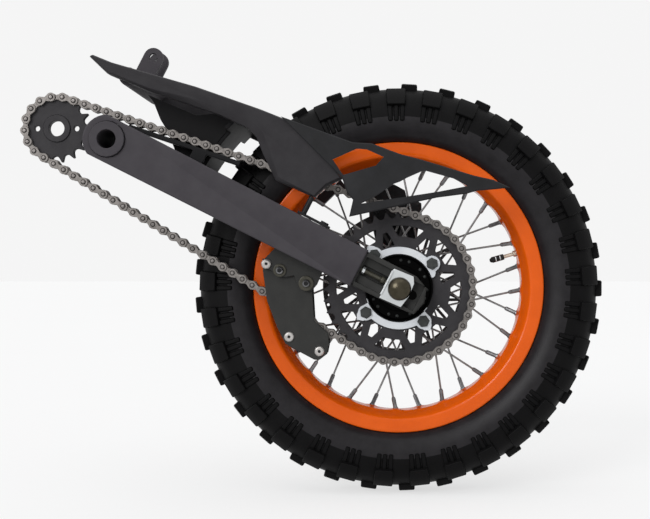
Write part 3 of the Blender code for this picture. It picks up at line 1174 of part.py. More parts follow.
build_pivot_tube()
for label, side in mirrored_sides():
    build_spar(label, side)
    build_truss(label, side)
    build_dropout(label, side)
    build_axle_block(label, side)
    build_adjuster(label, side)
    build_spacer(label, side)
build_lower_tube()
build_upper_tube()
build_cross_shell()
build_webs()
build_clevis()
build_axle()
build_axle_nut()
build_tyre()
build_rim()
build_hub()
build_rear_sprocket()
build_lock_plates()
build_front_sprocket()
build_chain()
build_brake_disc()
build_caliper()
build_caliper_bracket()
build_guard()
build_guide()
build_slider()
build_stay()
build_valve()
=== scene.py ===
import json
import math
import bmesh
import bpy
from mathutils import Matrix, Vector


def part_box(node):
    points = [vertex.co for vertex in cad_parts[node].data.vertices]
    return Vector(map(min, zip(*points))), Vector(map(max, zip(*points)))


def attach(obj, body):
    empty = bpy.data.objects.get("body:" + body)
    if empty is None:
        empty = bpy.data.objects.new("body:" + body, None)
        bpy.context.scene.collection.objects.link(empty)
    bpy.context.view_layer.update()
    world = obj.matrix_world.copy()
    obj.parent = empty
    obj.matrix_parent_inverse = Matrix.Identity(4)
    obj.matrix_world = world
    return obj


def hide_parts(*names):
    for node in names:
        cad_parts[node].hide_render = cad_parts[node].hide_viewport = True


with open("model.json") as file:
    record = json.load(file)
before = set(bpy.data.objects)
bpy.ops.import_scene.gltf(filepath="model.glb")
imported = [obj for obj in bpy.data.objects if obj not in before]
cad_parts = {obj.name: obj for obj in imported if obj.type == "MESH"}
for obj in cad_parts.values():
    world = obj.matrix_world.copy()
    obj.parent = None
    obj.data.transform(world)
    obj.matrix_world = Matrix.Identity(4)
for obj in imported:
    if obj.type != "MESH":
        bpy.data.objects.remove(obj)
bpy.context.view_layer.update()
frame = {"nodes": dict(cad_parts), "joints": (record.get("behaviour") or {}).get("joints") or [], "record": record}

# Places from the frame: the joints' axes and the arm's own directions
JOINT_PLACES = {joint["name"]: Vector(joint["pos_m"]) for joint in frame["joints"]}
WHEEL = JOINT_PLACES["wheel_spin"]
FRONT = JOINT_PLACES["front_sprocket_spin"]
PIVOT = (Vector(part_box("pivot_tube")[0]) + Vector(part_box("pivot_tube")[1])) / 2.0
MID_Y = WHEEL.y
ALONG = (WHEEL - PIVOT).normalized()
ABOVE = Vector((-ALONG.z, 0.0, ALONG.x))
BODIES = {node: body for body, nodes in frame["record"]["behaviour"]["bodies"].items() for node in nodes}
SLOTS = {part["node"]: part["material_slot"] for part in frame["record"]["subparts"]}

# Camera, worked out from the wheel's circles in the photograph
CAMERA_PLACE = (0.29535, -1.202, -0.14493)
CAMERA_LENS = 62.88
SENSOR_WIDTH = 36.0
CAMERA_SHIFT = (-0.0923, 0.0038)
CAMERA_REACH = 30.0

# Light and floor
FLOOR_DROP = 0.2325
FLOOR_CORNERS = ((-9.0, -6.0), (9.0, -6.0), (9.0, 14.0), (-9.0, 14.0))
FLOOR_GLOW = 0.66
FLOOR_GREY = 0.55
FLOOR_WHITE = 0.985
WORLD_WHITE = 0.915
SKY_COLOUR = (0.98, 0.99, 1.0, 1.0)
SKY_LOW = 0.30
SKY_HIGH = 0.62

# Surfaces
NOISE_DETAIL = 6.0
NOISE_ROUGHNESS = 0.6
RAMP_ENDS = (0.35, 0.65)
GRAIN_FINENESS = 12.0
GRAIN_DETAIL = 3.0

# Shapes
MITRE_LIMIT = 0.35
CORNER_SHARE = 0.45
MERGE_DISTANCE = 0.00002
FLAT_ANGLE = math.radians(1.5)

# Tyre
LUG_ROWS = 33
TYRE_RADIUS = 0.2323
CARCASS_RADIUS = 0.2257
RIM_RADIUS = 0.163
LUG_ANGLE = math.radians(-0.35)
LUG_PITCH = 2.0 * math.pi / LUG_ROWS
LUG_TAPER = 0.0009
LUG_EDGE = 0.0010
LUG_SINK = 0.001
LUG_OVERLAP = 0.002
CROWN_HALF_ANGLE = math.radians(2.4)
CROWN_LUG_HEIGHT = TYRE_RADIUS - CARCASS_RADIUS
CROWN_LUG_SPAN = (0.0015, 0.0155)
CROWN_RISE = 0.0002
SHOULDER_TURN = math.radians(3.9)
SHOULDER_HALF_ANGLE = math.radians(3.0)
SHOULDER_LUG_HEIGHT = 0.0052
SHOULDER_Y = 0.0205
WAIST_RADIUS = 0.2020
FOOT_RADIUS = 0.1855
TREAD_FOOT_RADIUS = 0.1893
FINGER_HEIGHT = 0.0018
FINGER_COUNT = 3
FINGER_SHARE = 0.45

# Wheel
RIM_WELL_RADIUS = 0.1400
PAD_LIMIT_RADIUS = 0.1428
NIPPLE_PAD_HEIGHT = 0.0023
NIPPLE_PAD_REACH = 0.0060
NIPPLE_RADIUS = 0.0024
NIPPLE_LENGTH = 0.0155
NIPPLE_SINK = 0.0012
NIPPLE_Y = 0.004
SPOKE_COUNT = 32
SPOKE_STEP = 2.0 * math.pi / SPOKE_COUNT
SPOKE_ANGLE = math.radians(21.15)
SPOKE_LEAN = math.radians(65.0)
SPOKE_HOLE_RADIUS = 0.0308
SPOKE_LEFT_Y = -0.0455
SPOKE_RIGHT_Y = 0.0275
SPOKE_SPREAD = 0.0016
SPOKE_RADIUS = 0.00115
VALVE_ANGLE = math.radians(16.0)
VALVE_SINK = 0.0004
CUP_RADIUS = 0.0367
CUP_RIM_Y = -0.0625
CUP_FLOOR_Y = -0.0530
CUP_PLAY = 0.0002

# Chain drive
CHAIN_PITCH = 0.0127
CHAIN_LINKS = 94
CHAIN_START_SHARE = 0.34
REAR_TEETH = 40
FRONT_TEETH = 17
ROLLER_RADIUS = 0.0038
ROLLER_PLAY = 0.0002
TOOTH_WIDTH = 0.0058
TOOTH_TIP = 0.0028
TOOTH_TIP_SHARE = 0.055
VALLEY_SWEEP = math.radians(62.0)
VALLEY_STEPS = 3
SPROCKET_CHAMFER = 0.0006
PLATE_GAP = 0.0068
PLATE_THICKNESS = 0.0016
PLATE_SHARE = 0.94
PLATE_HEIGHT = 0.0098
PLATE_WAIST = 0.0048
PLATE_CHAMFER = 0.0003
PEG_SINK = 0.0002
CHAIN_Y = FRONT.y - MID_Y
REAR_PITCH_RADIUS = CHAIN_PITCH / (2.0 * math.sin(math.pi / REAR_TEETH))
FRONT_PITCH_RADIUS = CHAIN_PITCH / (2.0 * math.sin(math.pi / FRONT_TEETH))
SPROCKET_FACE = CHAIN_Y - TOOTH_WIDTH / 2.0

# Lock plates and their bolts
BOLT_CIRCLE_RADIUS = 0.0449
BOLT_ANGLE = math.radians(36.4)
BOLT_RADIUS = 0.0068
BOLT_HEIGHT = 0.0034
LOCK_HALF_ANGLE = math.radians(64.0)
LOCK_INNER_RADIUS = 0.0371
LOCK_NARROW_RADIUS = 0.0372
LOCK_WIDE_RADIUS = 0.0451
LOCK_THICKNESS = 0.0035
LOCK_GAP = 0.0003
LOCK_BOSS_RADIUS = 0.0088
TAB_ARM = 0.055
ROUND_TAB_ANGLE = math.radians(20.0)
ROUND_TAB_HEIGHT = 0.0076
POINTED_TAB_RADIUS = 0.0575
POINTED_TAB_HALF_WIDTH = 0.0055
POINTED_TAB_SLOPE = 0.75

# Brake disc
DISC_RADIUS = 0.089
DISC_BORE_RADIUS = 0.0160
DISC_HOLES = 48
DISC_HOLE_RADIUS = 0.0017
DISC_HOLE_CIRCLE = 0.0785
DISC_HOLE_STEP = 0.0035
DISC_BOLT_CIRCLE = 0.027
LATTICE_COUNT = 15
LATTICE_INNER = 0.0395
LATTICE_OUTER = 0.0742
STRUT_HALF_WIDTH = 0.0013


# Materials, kept by name: a slot's look has the slot's name
LOOKS = {}


def grey(value):
    """Colour with equal parts of red, green and blue."""
    return value, value, value, 1.0


def add_node(nodes, kind, values):
    """New shader node with the values of some of its inputs."""
    new = nodes.new(kind)
    for name, value in values.items():
        new.inputs[name].default_value = value
    return new


def surface(name, dark, light, rough, metallic=0.0, scale=60.0, bump=0.0, shine=0.5, depth=0.0003):
    """Material whose colour and roughness vary over the surface between two values, with a fine grain."""
    new = bpy.data.materials.new(name)
    new.use_nodes = True
    nodes, links = new.node_tree.nodes, new.node_tree.links
    shader = nodes["Principled BSDF"]
    place = nodes.new("ShaderNodeTexCoord")
    noise = add_node(nodes, "ShaderNodeTexNoise",
                     {"Scale": scale, "Detail": NOISE_DETAIL, "Roughness": NOISE_ROUGHNESS})
    links.new(place.outputs["Object"], noise.inputs["Vector"])
    ramp = nodes.new("ShaderNodeValToRGB")
    for element, position, colour in zip(ramp.color_ramp.elements, RAMP_ENDS, (dark, light)):
        element.position = position
        element.color = (*colour, 1.0)
    links.new(noise.outputs["Fac"], ramp.inputs["Fac"])
    links.new(ramp.outputs["Color"], shader.inputs["Base Color"])
    spread = add_node(nodes, "ShaderNodeMapRange", {"To Min": rough[0], "To Max": rough[1]})
    links.new(noise.outputs["Fac"], spread.inputs["Value"])
    links.new(spread.outputs["Result"], shader.inputs["Roughness"])
    shader.inputs["Metallic"].default_value = metallic
    shader.inputs["Specular IOR Level"].default_value = shine
    if bump > 0.0:
        grain = add_node(nodes, "ShaderNodeTexNoise",
                         {"Scale": GRAIN_FINENESS * scale, "Detail": GRAIN_DETAIL})
        links.new(place.outputs["Object"], grain.inputs["Vector"])
        raised = add_node(nodes, "ShaderNodeBump", {"Strength": bump, "Distance": depth})
        links.new(grain.outputs["Fac"], raised.inputs["Height"])
        links.new(raised.outputs["Normal"], shader.inputs["Normal"])
    LOOKS[name] = new
    return new


surface("arm_paint", (0.058, 0.053, 0.060), (0.068, 0.063, 0.070), (0.50, 0.62),
        scale=55.0, bump=0.25, shine=0.12, depth=0.0001)
# Darker copy of the arm's paint for the trusses: painted shade.
TRUSS_SHADED_PAINT = surface("truss_paint_shaded", (0.034, 0.032, 0.035), (0.042, 0.040, 0.043), (0.50, 0.62),
                      scale=55.0, bump=0.25, shine=0.10, depth=0.0001)
DROPOUT_PAINT = surface("dropout_paint", (0.03, 0.03, 0.0285), (0.042, 0.042, 0.0405), (0.42, 0.55),
                        scale=55.0, bump=0.2, shine=0.12, depth=0.0001)
BLACK_PAINT = surface("black_paint", (0.012, 0.012, 0.013), (0.018, 0.018, 0.019), (0.35, 0.48),
                      bump=0.1, shine=0.15)
surface("guard_plastic", (0.019, 0.019, 0.020), (0.025, 0.025, 0.027), (0.50, 0.62),
        bump=0.3, shine=0.12, depth=0.0001)
GUIDE_PLASTIC = surface("guide_plastic", (0.032, 0.032, 0.031), (0.040, 0.040, 0.038), (0.50, 0.62),
                        bump=0.3, shine=0.15)
# Near-black look for the webs and the cross shell: painted shade.
PAINTED_SHADE_BLACK = surface("painted_shade_black", (0.005, 0.0047, 0.0053), (0.007, 0.0067, 0.0073), (0.50, 0.62),
                      bump=0.2, shine=0.12)
NYLON = surface("nylon", (0.008, 0.008, 0.009), (0.013, 0.013, 0.014), (0.45, 0.6), bump=0.2, shine=0.12)
ZINC = surface("zinc", (0.544, 0.5644, 0.5712), (0.612, 0.6324, 0.6392), (0.30, 0.42),
               metallic=0.85, scale=45.0, bump=0.08)
BRONZE_STEEL = surface("bronze_steel", (0.0468, 0.0413, 0.0286), (0.0688, 0.0605, 0.044), (0.22, 0.30),
                       metallic=1.0, scale=120.0, bump=0.1)
DARK_OLIVE = surface("dark_olive", (0.036, 0.034, 0.024), (0.060, 0.056, 0.042), (0.35, 0.48),
                     metallic=0.5, scale=160.0, bump=0.1)
CHAIN_STEEL = surface("chain_steel", (0.1456, 0.1344, 0.126), (0.2352, 0.2184, 0.2072), (0.36, 0.5),
                      metallic=0.8, scale=260.0)
CHAIN_PIN = surface("chain_pin", (0.156, 0.144, 0.138), (0.24, 0.222, 0.213), (0.3, 0.42),
                    metallic=0.8, scale=260.0)
# Dark grey for the rings round the chain's pins: painted shade.
CHAIN_PAINTED_SHADE = surface("chain_painted_shade", (0.051, 0.0468, 0.0444), (0.078, 0.072, 0.0678), (0.5, 0.6),
                      scale=260.0, shine=0.10)
SPROCKET_STEEL = surface("sprocket_steel", (0.036, 0.034, 0.037), (0.047, 0.045, 0.048), (0.45, 0.58),
                         scale=90.0, bump=0.15, shine=0.15, depth=0.0001)
# The disc's steel is darkened well below bright steel: painted shade.
DISC_SHADED_STEEL = surface("disc_steel", (0.0372, 0.0366, 0.0384), (0.0527, 0.0515, 0.0539), (0.35, 0.5),
                     metallic=0.4, scale=90.0, shine=0.15)
RING_ALLOY = surface("ring_alloy", (0.6411, 0.664, 0.7021), (0.7098, 0.7327, 0.7556), (0.34, 0.46),
                     metallic=0.6, scale=40.0, bump=0.1)
BOLT_STEEL = surface("bolt_steel", (0.045, 0.048, 0.047), (0.070, 0.074, 0.072), (0.45, 0.58),
                     metallic=0.2, scale=300.0, shine=0.15)
PALE_SCREW = surface("pale_screw", (0.416, 0.4, 0.384), (0.528, 0.504, 0.488), (0.30, 0.4),
                     metallic=0.8, scale=200.0)
HUB_PAINT = surface("hub_paint", (0.001, 0.001, 0.001), (0.002, 0.002, 0.002), (0.25, 0.35), shine=0.03)
RIM_PAINT = surface("rim_paint", (0.83, 0.114, 0.003), (0.89, 0.128, 0.005), (0.18, 0.25),
                    scale=35.0, shine=0.25)
RUBBER = surface("rubber", (0.0129, 0.0118, 0.0132), (0.0196, 0.0181, 0.0202), (0.36, 0.46),
                 scale=70.0, bump=0.3, shine=0.16)
# Darker copy of the tyre's rubber for the crown and the lugs: painted shade.
TREAD_SHADED_RUBBER = surface("tread_rubber_shaded", (0.0021, 0.002, 0.0022), (0.0036, 0.0034, 0.0037), (0.48, 0.60),
                       scale=70.0, bump=0.3, shine=0.09)
SPOKE_STEEL = surface("spoke_steel", (0.165, 0.165, 0.165), (0.27, 0.27, 0.27), (0.3, 0.42),
                      metallic=0.9, scale=150.0)
NIPPLE_STEEL = surface("nipple_steel", (0.1275, 0.1275, 0.1318), (0.221, 0.221, 0.2253), (0.30, 0.42),
                       metallic=0.9, scale=200.0)
CALIPER_PAINT = surface("caliper_paint", (0.008, 0.008, 0.009), (0.014, 0.014, 0.015), (0.32, 0.46),
                        bump=0.3, shine=0.15)
BRASS = surface("brass", (0.52, 0.44, 0.36), (0.66, 0.57, 0.47), (0.25, 0.35), metallic=0.9, scale=150.0)
CAP_PLASTIC = surface("cap_plastic", (0.008, 0.008, 0.008), (0.014, 0.014, 0.014), (0.3, 0.45),
                      bump=0.1, shine=0.20)
# The trusses' darker paint and the near-black look of the webs and cross shell are painted shade.
NODE_LOOKS = {"truss_left": TRUSS_SHADED_PAINT, "truss_right": TRUSS_SHADED_PAINT, "web_left": PAINTED_SHADE_BLACK,
              "web_right": PAINTED_SHADE_BLACK, "cross_shell": PAINTED_SHADE_BLACK, "chain_guide_outer": GUIDE_PLASTIC,
              "chain_guide_bracket": GUIDE_PLASTIC, "dropout_left": DROPOUT_PAINT,
              "dropout_right": DROPOUT_PAINT}


def look_of(node):
    """Look of a CAD node: its slot's, except where the photograph shows it darker or paler."""
    return NODE_LOOKS.get(node, LOOKS[SLOTS[node]])


# Shapes

def direction(angle):
    """Unit vector in the XZ plane."""
    return Vector((math.cos(angle), 0.0, math.sin(angle)))


def circle_points(centre, radius, count, start=0.0):
    """Points round a circle in the XZ plane."""
    return [centre + direction(start + 2.0 * math.pi * i / count) * radius for i in range(count)]


def outline_area(points):
    """Signed area of an outline in the XZ plane."""
    pairs = [(points[i - 1], points[i]) for i in range(len(points))]
    return sum(before.x * point.z - point.x * before.z for before, point in pairs) / 2.0


def inset(points, step):
    """The outline drawn inwards by one step, or outwards by a negative one."""
    turn = math.copysign(1.0, outline_area(points))
    moved = []
    for index, point in enumerate(points):
        before = (point - points[index - 1]).normalized()
        after = (points[(index + 1) % len(points)] - point).normalized()
        normals = [Vector((-edge.z, 0.0, edge.x)) * turn for edge in (before, after)]
        middle = (normals[0] + normals[1]).normalized()
        moved.append(point + middle * (step / max(middle.dot(normals[1]), MITRE_LIMIT)))
    return moved


def rounded(points, radius, steps):
    """The outline with each corner replaced by an arc, smaller where its edges are short."""
    result = []
    for index, point in enumerate(points):
        back = points[index - 1] - point
        ahead = points[(index + 1) % len(points)] - point
        half = back.angle(ahead) / 2.0
        reach = min(radius / math.tan(half), CORNER_SHARE * back.length, CORNER_SHARE * ahead.length)
        start, end = point + back.normalized() * reach, point + ahead.normalized() * reach
        for i in range(steps + 1):
            t = i / steps
            result.append(start * (1.0 - t) ** 2 + point * (2.0 * t * (1.0 - t)) + end * t ** 2)
    return result


def smooth_line(points, steps):
    """Catmull-Rom curve through a row of points."""
    result = []
    for i in range(len(points) - 1):
        a, b, c, d = points[max(i - 1, 0)], points[i], points[i + 1], points[min(i + 2, len(points) - 1)]
        for k in range(steps):
            t = k / steps
            result.append((b * 2.0 + (c - a) * t + (a * 2.0 - b * 5.0 + c * 4.0 - d) * t ** 2
                           + (b * 3.0 - a - c * 3.0 + d) * t ** 3) / 2.0)
    return result + [points[-1]]


def add_object(name, data):
    """New object in the scene."""
    new = bpy.data.objects.new(name, data)
    bpy.context.scene.collection.objects.link(new)
    return new


def place_mesh(name, work, look, node, body=None, sharp=30.0, replaces=()):
    """Turns a bmesh into a shown object with the given look, riding on the body of a CAD node."""
    bmesh.ops.recalc_face_normals(work, faces=work.faces)
    data = bpy.data.meshes.new(name)
    work.to_mesh(data)
    work.free()
    data.shade_smooth()
    data.set_sharp_from_angle(angle=math.radians(sharp))
    data.materials.append(look)
    new = add_object(name, data)
    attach(new, body or BODIES[node])
    if replaces:
        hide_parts(*replaces)
    return new


def add_bevel(obj, width, segments=2, angle=35.0):
    """Rounds the edges that are sharper than an angle."""
    step = obj.modifiers.new("edges", "BEVEL")
    step.width = width
    step.segments = segments
    step.limit_method = "ANGLE"
    step.angle_limit = math.radians(angle)
    step.harden_normals = True
    step.miter_outer = "MITER_ARC"


def soften(node, width):
    """Shows a copy of a CAD node with its edges rounded, in place of the node."""
    work = bmesh.new()
    work.from_mesh(frame["nodes"][node].data)
    bmesh.ops.remove_doubles(work, verts=work.verts, dist=MERGE_DISTANCE)
    bmesh.ops.dissolve_limit(work, angle_limit=FLAT_ANGLE, verts=work.verts, edges=work.edges)
    add_bevel(place_mesh(node + "_finished", work, look_of(node), node, replaces=(node,)), width)


def add_strip(work, first, second):
    """Faces between two rings of as many corners."""
    for i in range(len(first)):
        j = (i + 1) % len(first)
        work.faces.new((first[i], first[j], second[j], second[i]))


def add_plate(work, loops, low_y, high_y, chamfer):
    """Flat plate from an outline and its holes, in the XZ plane, with chamfered edges."""
    outer = max(loops, key=lambda loop: abs(outline_area(loop)))
    levels = ((low_y, chamfer), (low_y + chamfer, 0.0), (high_y - chamfer, 0.0), (high_y, chamfer))
    caps = []
    for loop in loops:
        rings = []
        for y, step in levels:
            points = inset(loop, step if loop is outer else -step) if step else loop
            rings.append([work.verts.new((point.x, y, point.z)) for point in points])
        for first, second in zip(rings, rings[1:]):
            add_strip(work, first, second)
        caps.append((rings[0], rings[-1]))
    for rings in zip(*caps):
        edges = [work.edges.get((ring[i - 1], ring[i])) for ring in rings for i in range(len(ring))]
        bmesh.ops.triangle_fill(work, use_beauty=True, use_dissolve=False, edges=edges)


def add_turned(work, profile, segments, place, turn=None, start=0.0):
    """Surface turned about Y, from a closed loop of (radius, y) points, moved and turned into place."""
    matrix = Matrix.Translation(place) @ (turn.to_matrix().to_4x4() if turn else Matrix.Identity(4))
    rings = []
    for radius, y in profile:
        rise = Vector((0.0, y, 0.0))
        headings = [start + 2.0 * math.pi * i / segments for i in range(segments if radius > 0.0 else 1)]
        rings.append([work.verts.new(matrix @ (direction(angle) * radius + rise)) for angle in headings])
    for index, first in enumerate(rings):
        second = rings[(index + 1) % len(rings)]
        for i in range(segments):
            j = (i + 1) % segments
            corners = [ring[k % len(ring)] for ring, k in ((first, i), (first, j), (second, j), (second, i))]
            kept = [corner for n, corner in enumerate(corners) if corner not in corners[:n]]
            if len(kept) > 2:
                work.faces.new(kept)


def rod_turn(along):
    """Rotation that takes Y to a direction."""
    return Vector((0.0, 1.0, 0.0)).rotation_difference(along)


def add_rod(work, start, end, radius, segments=10):
    """Round bar between two points."""
    along = end - start
    profile = ((0.0, 0.0), (radius, 0.0), (radius, along.length), (0.0, along.length))
    add_turned(work, profile, segments, start, rod_turn(along))


# Tyre

def tyre_outer():
    """Outside of the carcass from the crown to the bead, as (radius, distance from the mid-plane)."""
    height = CARCASS_RADIUS - RIM_RADIUS
    shares = ((1.0, 0.0), (0.985, 0.008), (0.925, 0.0195), (0.80, 0.0292), (0.62, 0.0356), (0.46, 0.0379),
              (0.32, 0.0381), (0.20, 0.0362), (0.115, 0.0335), (0.06, 0.0305), (0.015, 0.0268), (0.0, 0.0236),
              (-0.12, 0.0232))
    return smooth_line([Vector((RIM_RADIUS + rise * height, y, 0.0)) for rise, y in shares], 4)


def section_at(line, lengths, reach):
    """Point and outward normal on the carcass, at a distance from the crown along the section."""
    index = next((i for i in range(1, len(lengths)) if lengths[i] >= reach), len(lengths) - 1)
    share = (reach - lengths[index - 1]) / (lengths[index] - lengths[index - 1])
    point = line[index - 1].lerp(line[index], share)
    along = (line[index] - line[index - 1]).normalized()
    return point, Vector((along.y, -along.x, 0.0))


def add_lug(work, line, lengths, side, centre_angle, half_angle, near, far, height, steps):
    """Tapered block on the carcass, between two distances from the crown along the section."""
    rings = []
    for i in range(steps + 1):
        share = i / steps
        base, normal = section_at(line, lengths, near + (far - near) * share)
        top_reach = near + LUG_TAPER + (far - near - 2.0 * LUG_TAPER) * share
        top, top_normal = section_at(line, lengths, top_reach)
        top = top + top_normal * height
        base = base - normal * LUG_SINK
        taper = LUG_TAPER / top.x
        corners = ((base, -half_angle), (top, -half_angle + taper), (top, half_angle - taper),
                   (base, half_angle))
        rings.append([work.verts.new(WHEEL + direction(centre_angle + turn) * point.x
                                     + Vector((0.0, side * point.y, 0.0))) for point, turn in corners])
    work.faces.new(rings[0])
    work.faces.new(rings[-1])
    for first, second in zip(rings, rings[1:]):
        add_strip(work, first, second)


def build_tyre():
    """Carcass with a tread in a darker copy of the rubber, which is painted shade: crown and shoulder blocks, and
    fingers that run down the sidewall.
    """
    line = tyre_outer()
    lengths = [0.0]
    for before, after in zip(line, line[1:]):
        lengths.append(lengths[-1] + (after - before).length)
    shoulder = next(reach for point, reach in zip(line, lengths) if point.y > SHOULDER_Y)
    waist = next(reach for point, reach in zip(line, lengths) if point.x < WAIST_RADIUS)
    foot = next(reach for point, reach in zip(line, lengths) if point.x < FOOT_RADIUS)
    work, lugs = bmesh.new(), bmesh.new()
    outside = [(point.x, -point.y) for point in line[::-1]] + [(point.x, point.y) for point in line[1:]]
    inside = [(0.1565, 0.0165), (0.205, 0.026), (0.205, -0.026), (0.1565, -0.0165)]
    add_turned(work, outside + inside, 6 * LUG_ROWS, WHEEL, start=LUG_ANGLE)
    # The crown ring and the lugs take the darker rubber: painted shade.
    crown = [(r + CROWN_RISE, y) for r, y in outside if r > TREAD_FOOT_RADIUS]
    add_turned(lugs, crown, 6 * LUG_ROWS, WHEEL, start=LUG_ANGLE)
    width = 2.0 * SHOULDER_HALF_ANGLE / FINGER_COUNT
    for row in range(LUG_ROWS):
        angle = LUG_ANGLE + row * LUG_PITCH
        for side in (-1.0, 1.0):
            add_lug(lugs, line, lengths, side, angle, CROWN_HALF_ANGLE, *CROWN_LUG_SPAN, CROWN_LUG_HEIGHT, 2)
            turned_angle = angle - side * SHOULDER_TURN
            add_lug(lugs, line, lengths, side, turned_angle, SHOULDER_HALF_ANGLE, shoulder - LUG_OVERLAP,
                    waist, SHOULDER_LUG_HEIGHT, 4)
            for finger in range(FINGER_COUNT):
                place = turned_angle - SHOULDER_HALF_ANGLE + (finger + 0.5) * width
                add_lug(lugs, line, lengths, side, place, FINGER_SHARE * width, waist - LUG_OVERLAP, foot,
                        FINGER_HEIGHT, 3)
    place_mesh("tyre_carcass", work, RUBBER, "tyre", sharp=35.0, replaces=("tyre",))
    tread = place_mesh("tyre_lugs", lugs, TREAD_SHADED_RUBBER, "tyre", sharp=35.0)
    add_bevel(tread, LUG_EDGE, 1, 40.0)


# Rim, spokes and hub

def spoke_side(index):
    """-1 for a spoke from the left flange, 1 for one from the right."""
    return -1.0 if index % 2 == 0 else 1.0


def build_rim():
    """Drop-centre rim with rolled lips and a raised pad at each spoke's nipple."""
    under = [(RIM_WELL_RADIUS, 0.0), (RIM_WELL_RADIUS, 0.0095), (0.1412, 0.0120), (0.1440, 0.0190),
             (0.1462, 0.0236), (0.1480, 0.0256), (0.1515, 0.0264)]
    lip = [(0.1590, 0.0269), (0.1615, 0.0269), (0.1627, 0.0262), (0.1630, 0.0250), (0.1624, 0.0240),
           (0.1605, 0.0236)]
    seat = [(0.1500, 0.0236), (0.1498, 0.0150), (0.1440, 0.0120), (0.1435, 0.0)]
    half = [Vector((r, y, 0.0)) for r, y in under + lip]
    line = [(point.x, point.y) for point in smooth_line(half, 3)] + seat
    loop = line + [(r, -y) for r, y in line[::-1][1:-1]]
    work = bmesh.new()
    add_turned(work, loop, 8 * SPOKE_COUNT, WHEEL, start=SPOKE_ANGLE)
    for vert in work.verts:
        away = vert.co - WHEEL
        radius = math.hypot(away.x, away.z)
        if radius > PAD_LIMIT_RADIUS:
            continue
        turn = math.atan2(away.z, away.x) - SPOKE_ANGLE
        index = round(turn / SPOKE_STEP)
        across = math.hypot((turn - index * SPOKE_STEP) * radius, away.y - spoke_side(index) * NIPPLE_Y)
        lift = NIPPLE_PAD_HEIGHT * math.exp(-(across / NIPPLE_PAD_REACH) ** 2)
        vert.co -= Vector((away.x, 0.0, away.z)).normalized() * lift
    place_mesh("rim_rolled", work, RIM_PAINT, "rim", sharp=50.0, replaces=("rim",))


def spoke_ends(index):
    """Places of a spoke's hole in its flange and of its nipple at the rim."""
    side = spoke_side(index)
    turn = 1.0 if (index // 2) % 2 == 0 else -1.0
    angle = SPOKE_ANGLE + 2.0 * math.pi * index / SPOKE_COUNT
    start = direction(angle + turn * SPOKE_LEAN) * SPOKE_HOLE_RADIUS
    start.y = SPOKE_RIGHT_Y + turn * SPOKE_SPREAD if side > 0.0 else SPOKE_LEFT_Y - turn * SPOKE_SPREAD
    end = direction(angle) * (RIM_WELL_RADIUS - NIPPLE_PAD_HEIGHT / 2.0)
    end.y = side * NIPPLE_Y
    return WHEEL + start, WHEEL + end


def build_spokes():
    """Crossed wires with a nipple at the rim, and the left ones' heads on the cup's floor in a darker steel, which
    is painted shade.
    """
    wires, nipples, heads = bmesh.new(), bmesh.new(), bmesh.new()
    nipple = ((0.0, 0.0), (NIPPLE_RADIUS * 0.75, 0.0), (NIPPLE_RADIUS, NIPPLE_LENGTH * 0.10),
              (NIPPLE_RADIUS, NIPPLE_LENGTH * 0.78), (NIPPLE_RADIUS * 1.3, NIPPLE_LENGTH * 0.86),
              (NIPPLE_RADIUS * 1.3, NIPPLE_LENGTH), (0.0, NIPPLE_LENGTH))
    head = ((0.0, 0.0), (0.0021, 0.0), (0.0021, -0.0005), (0.0013, -0.0013), (0.0, -0.0016))
    for index in range(SPOKE_COUNT):
        start, end = spoke_ends(index)
        along = (end - start).normalized()
        add_rod(wires, start, end - along * (NIPPLE_LENGTH / 2.0), SPOKE_RADIUS)
        add_turned(nipples, nipple, 10, end - along * (NIPPLE_LENGTH - NIPPLE_SINK), rod_turn(along))
        if spoke_side(index) < 0.0:
            start.y = MID_Y + CUP_FLOOR_Y
            add_turned(heads, head, 12, start)
    place_mesh("spoke_wires", wires, SPOKE_STEEL, "hub_and_spokes", replaces=("hub_and_spokes",))
    place_mesh("spoke_nipples", nipples, NIPPLE_STEEL, "hub_and_spokes", replaces=("hub_and_spokes",))
    # The heads take the darker bolt steel: painted shade.
    place_mesh("spoke_heads_shaded", heads, BOLT_STEEL, "hub_and_spokes", sharp=50.0)


def build_hub():
    """Turned hub with the sprocket's cup on the left and the flange and disc seat on the right."""
    cup = [(0.0085, -0.0637), (0.0148, -0.0637), (0.0155, -0.0630), (0.0155, CUP_FLOOR_Y),
           (0.0250, CUP_FLOOR_Y), (0.0255, CUP_FLOOR_Y - 0.0008), (0.0338, CUP_FLOOR_Y - 0.0008),
           (0.0347, CUP_FLOOR_Y - 0.0020), (0.0350, CUP_RIM_Y + 0.0004), (0.0354, CUP_RIM_Y),
           (0.0363, CUP_RIM_Y), (CUP_RADIUS, CUP_RIM_Y + 0.0006), (CUP_RADIUS, -0.0508)]
    barrel = [(0.0452, -0.0508), (0.0460, -0.0500), (0.0460, -0.0462), (0.0450, -0.0455), (0.0360, -0.0435),
              (0.0270, -0.0400), (0.0243, -0.0340), (0.0230, -0.0150), (0.0230, 0.0100), (0.0240, 0.0200),
              (0.0262, 0.0244)]
    flange = [(0.0355, 0.0250), (0.0365, 0.0258), (0.0365, 0.0292), (0.0355, 0.0300), (0.0260, 0.0310),
              (0.0240, 0.0330), (0.0240, 0.0400)]
    disc_seat = [(0.0350, 0.0410), (0.0360, 0.0420), (0.0360, 0.0459), (0.0155, 0.0459), (0.0155, 0.0630),
                 (0.0148, 0.0637), (0.0085, 0.0637)]
    work = bmesh.new()
    add_turned(work, cup + barrel + flange + disc_seat, 72, WHEEL)
    place_mesh("hub_shell", work, HUB_PAINT, "hub_and_spokes", sharp=40.0, replaces=("hub_and_spokes",))


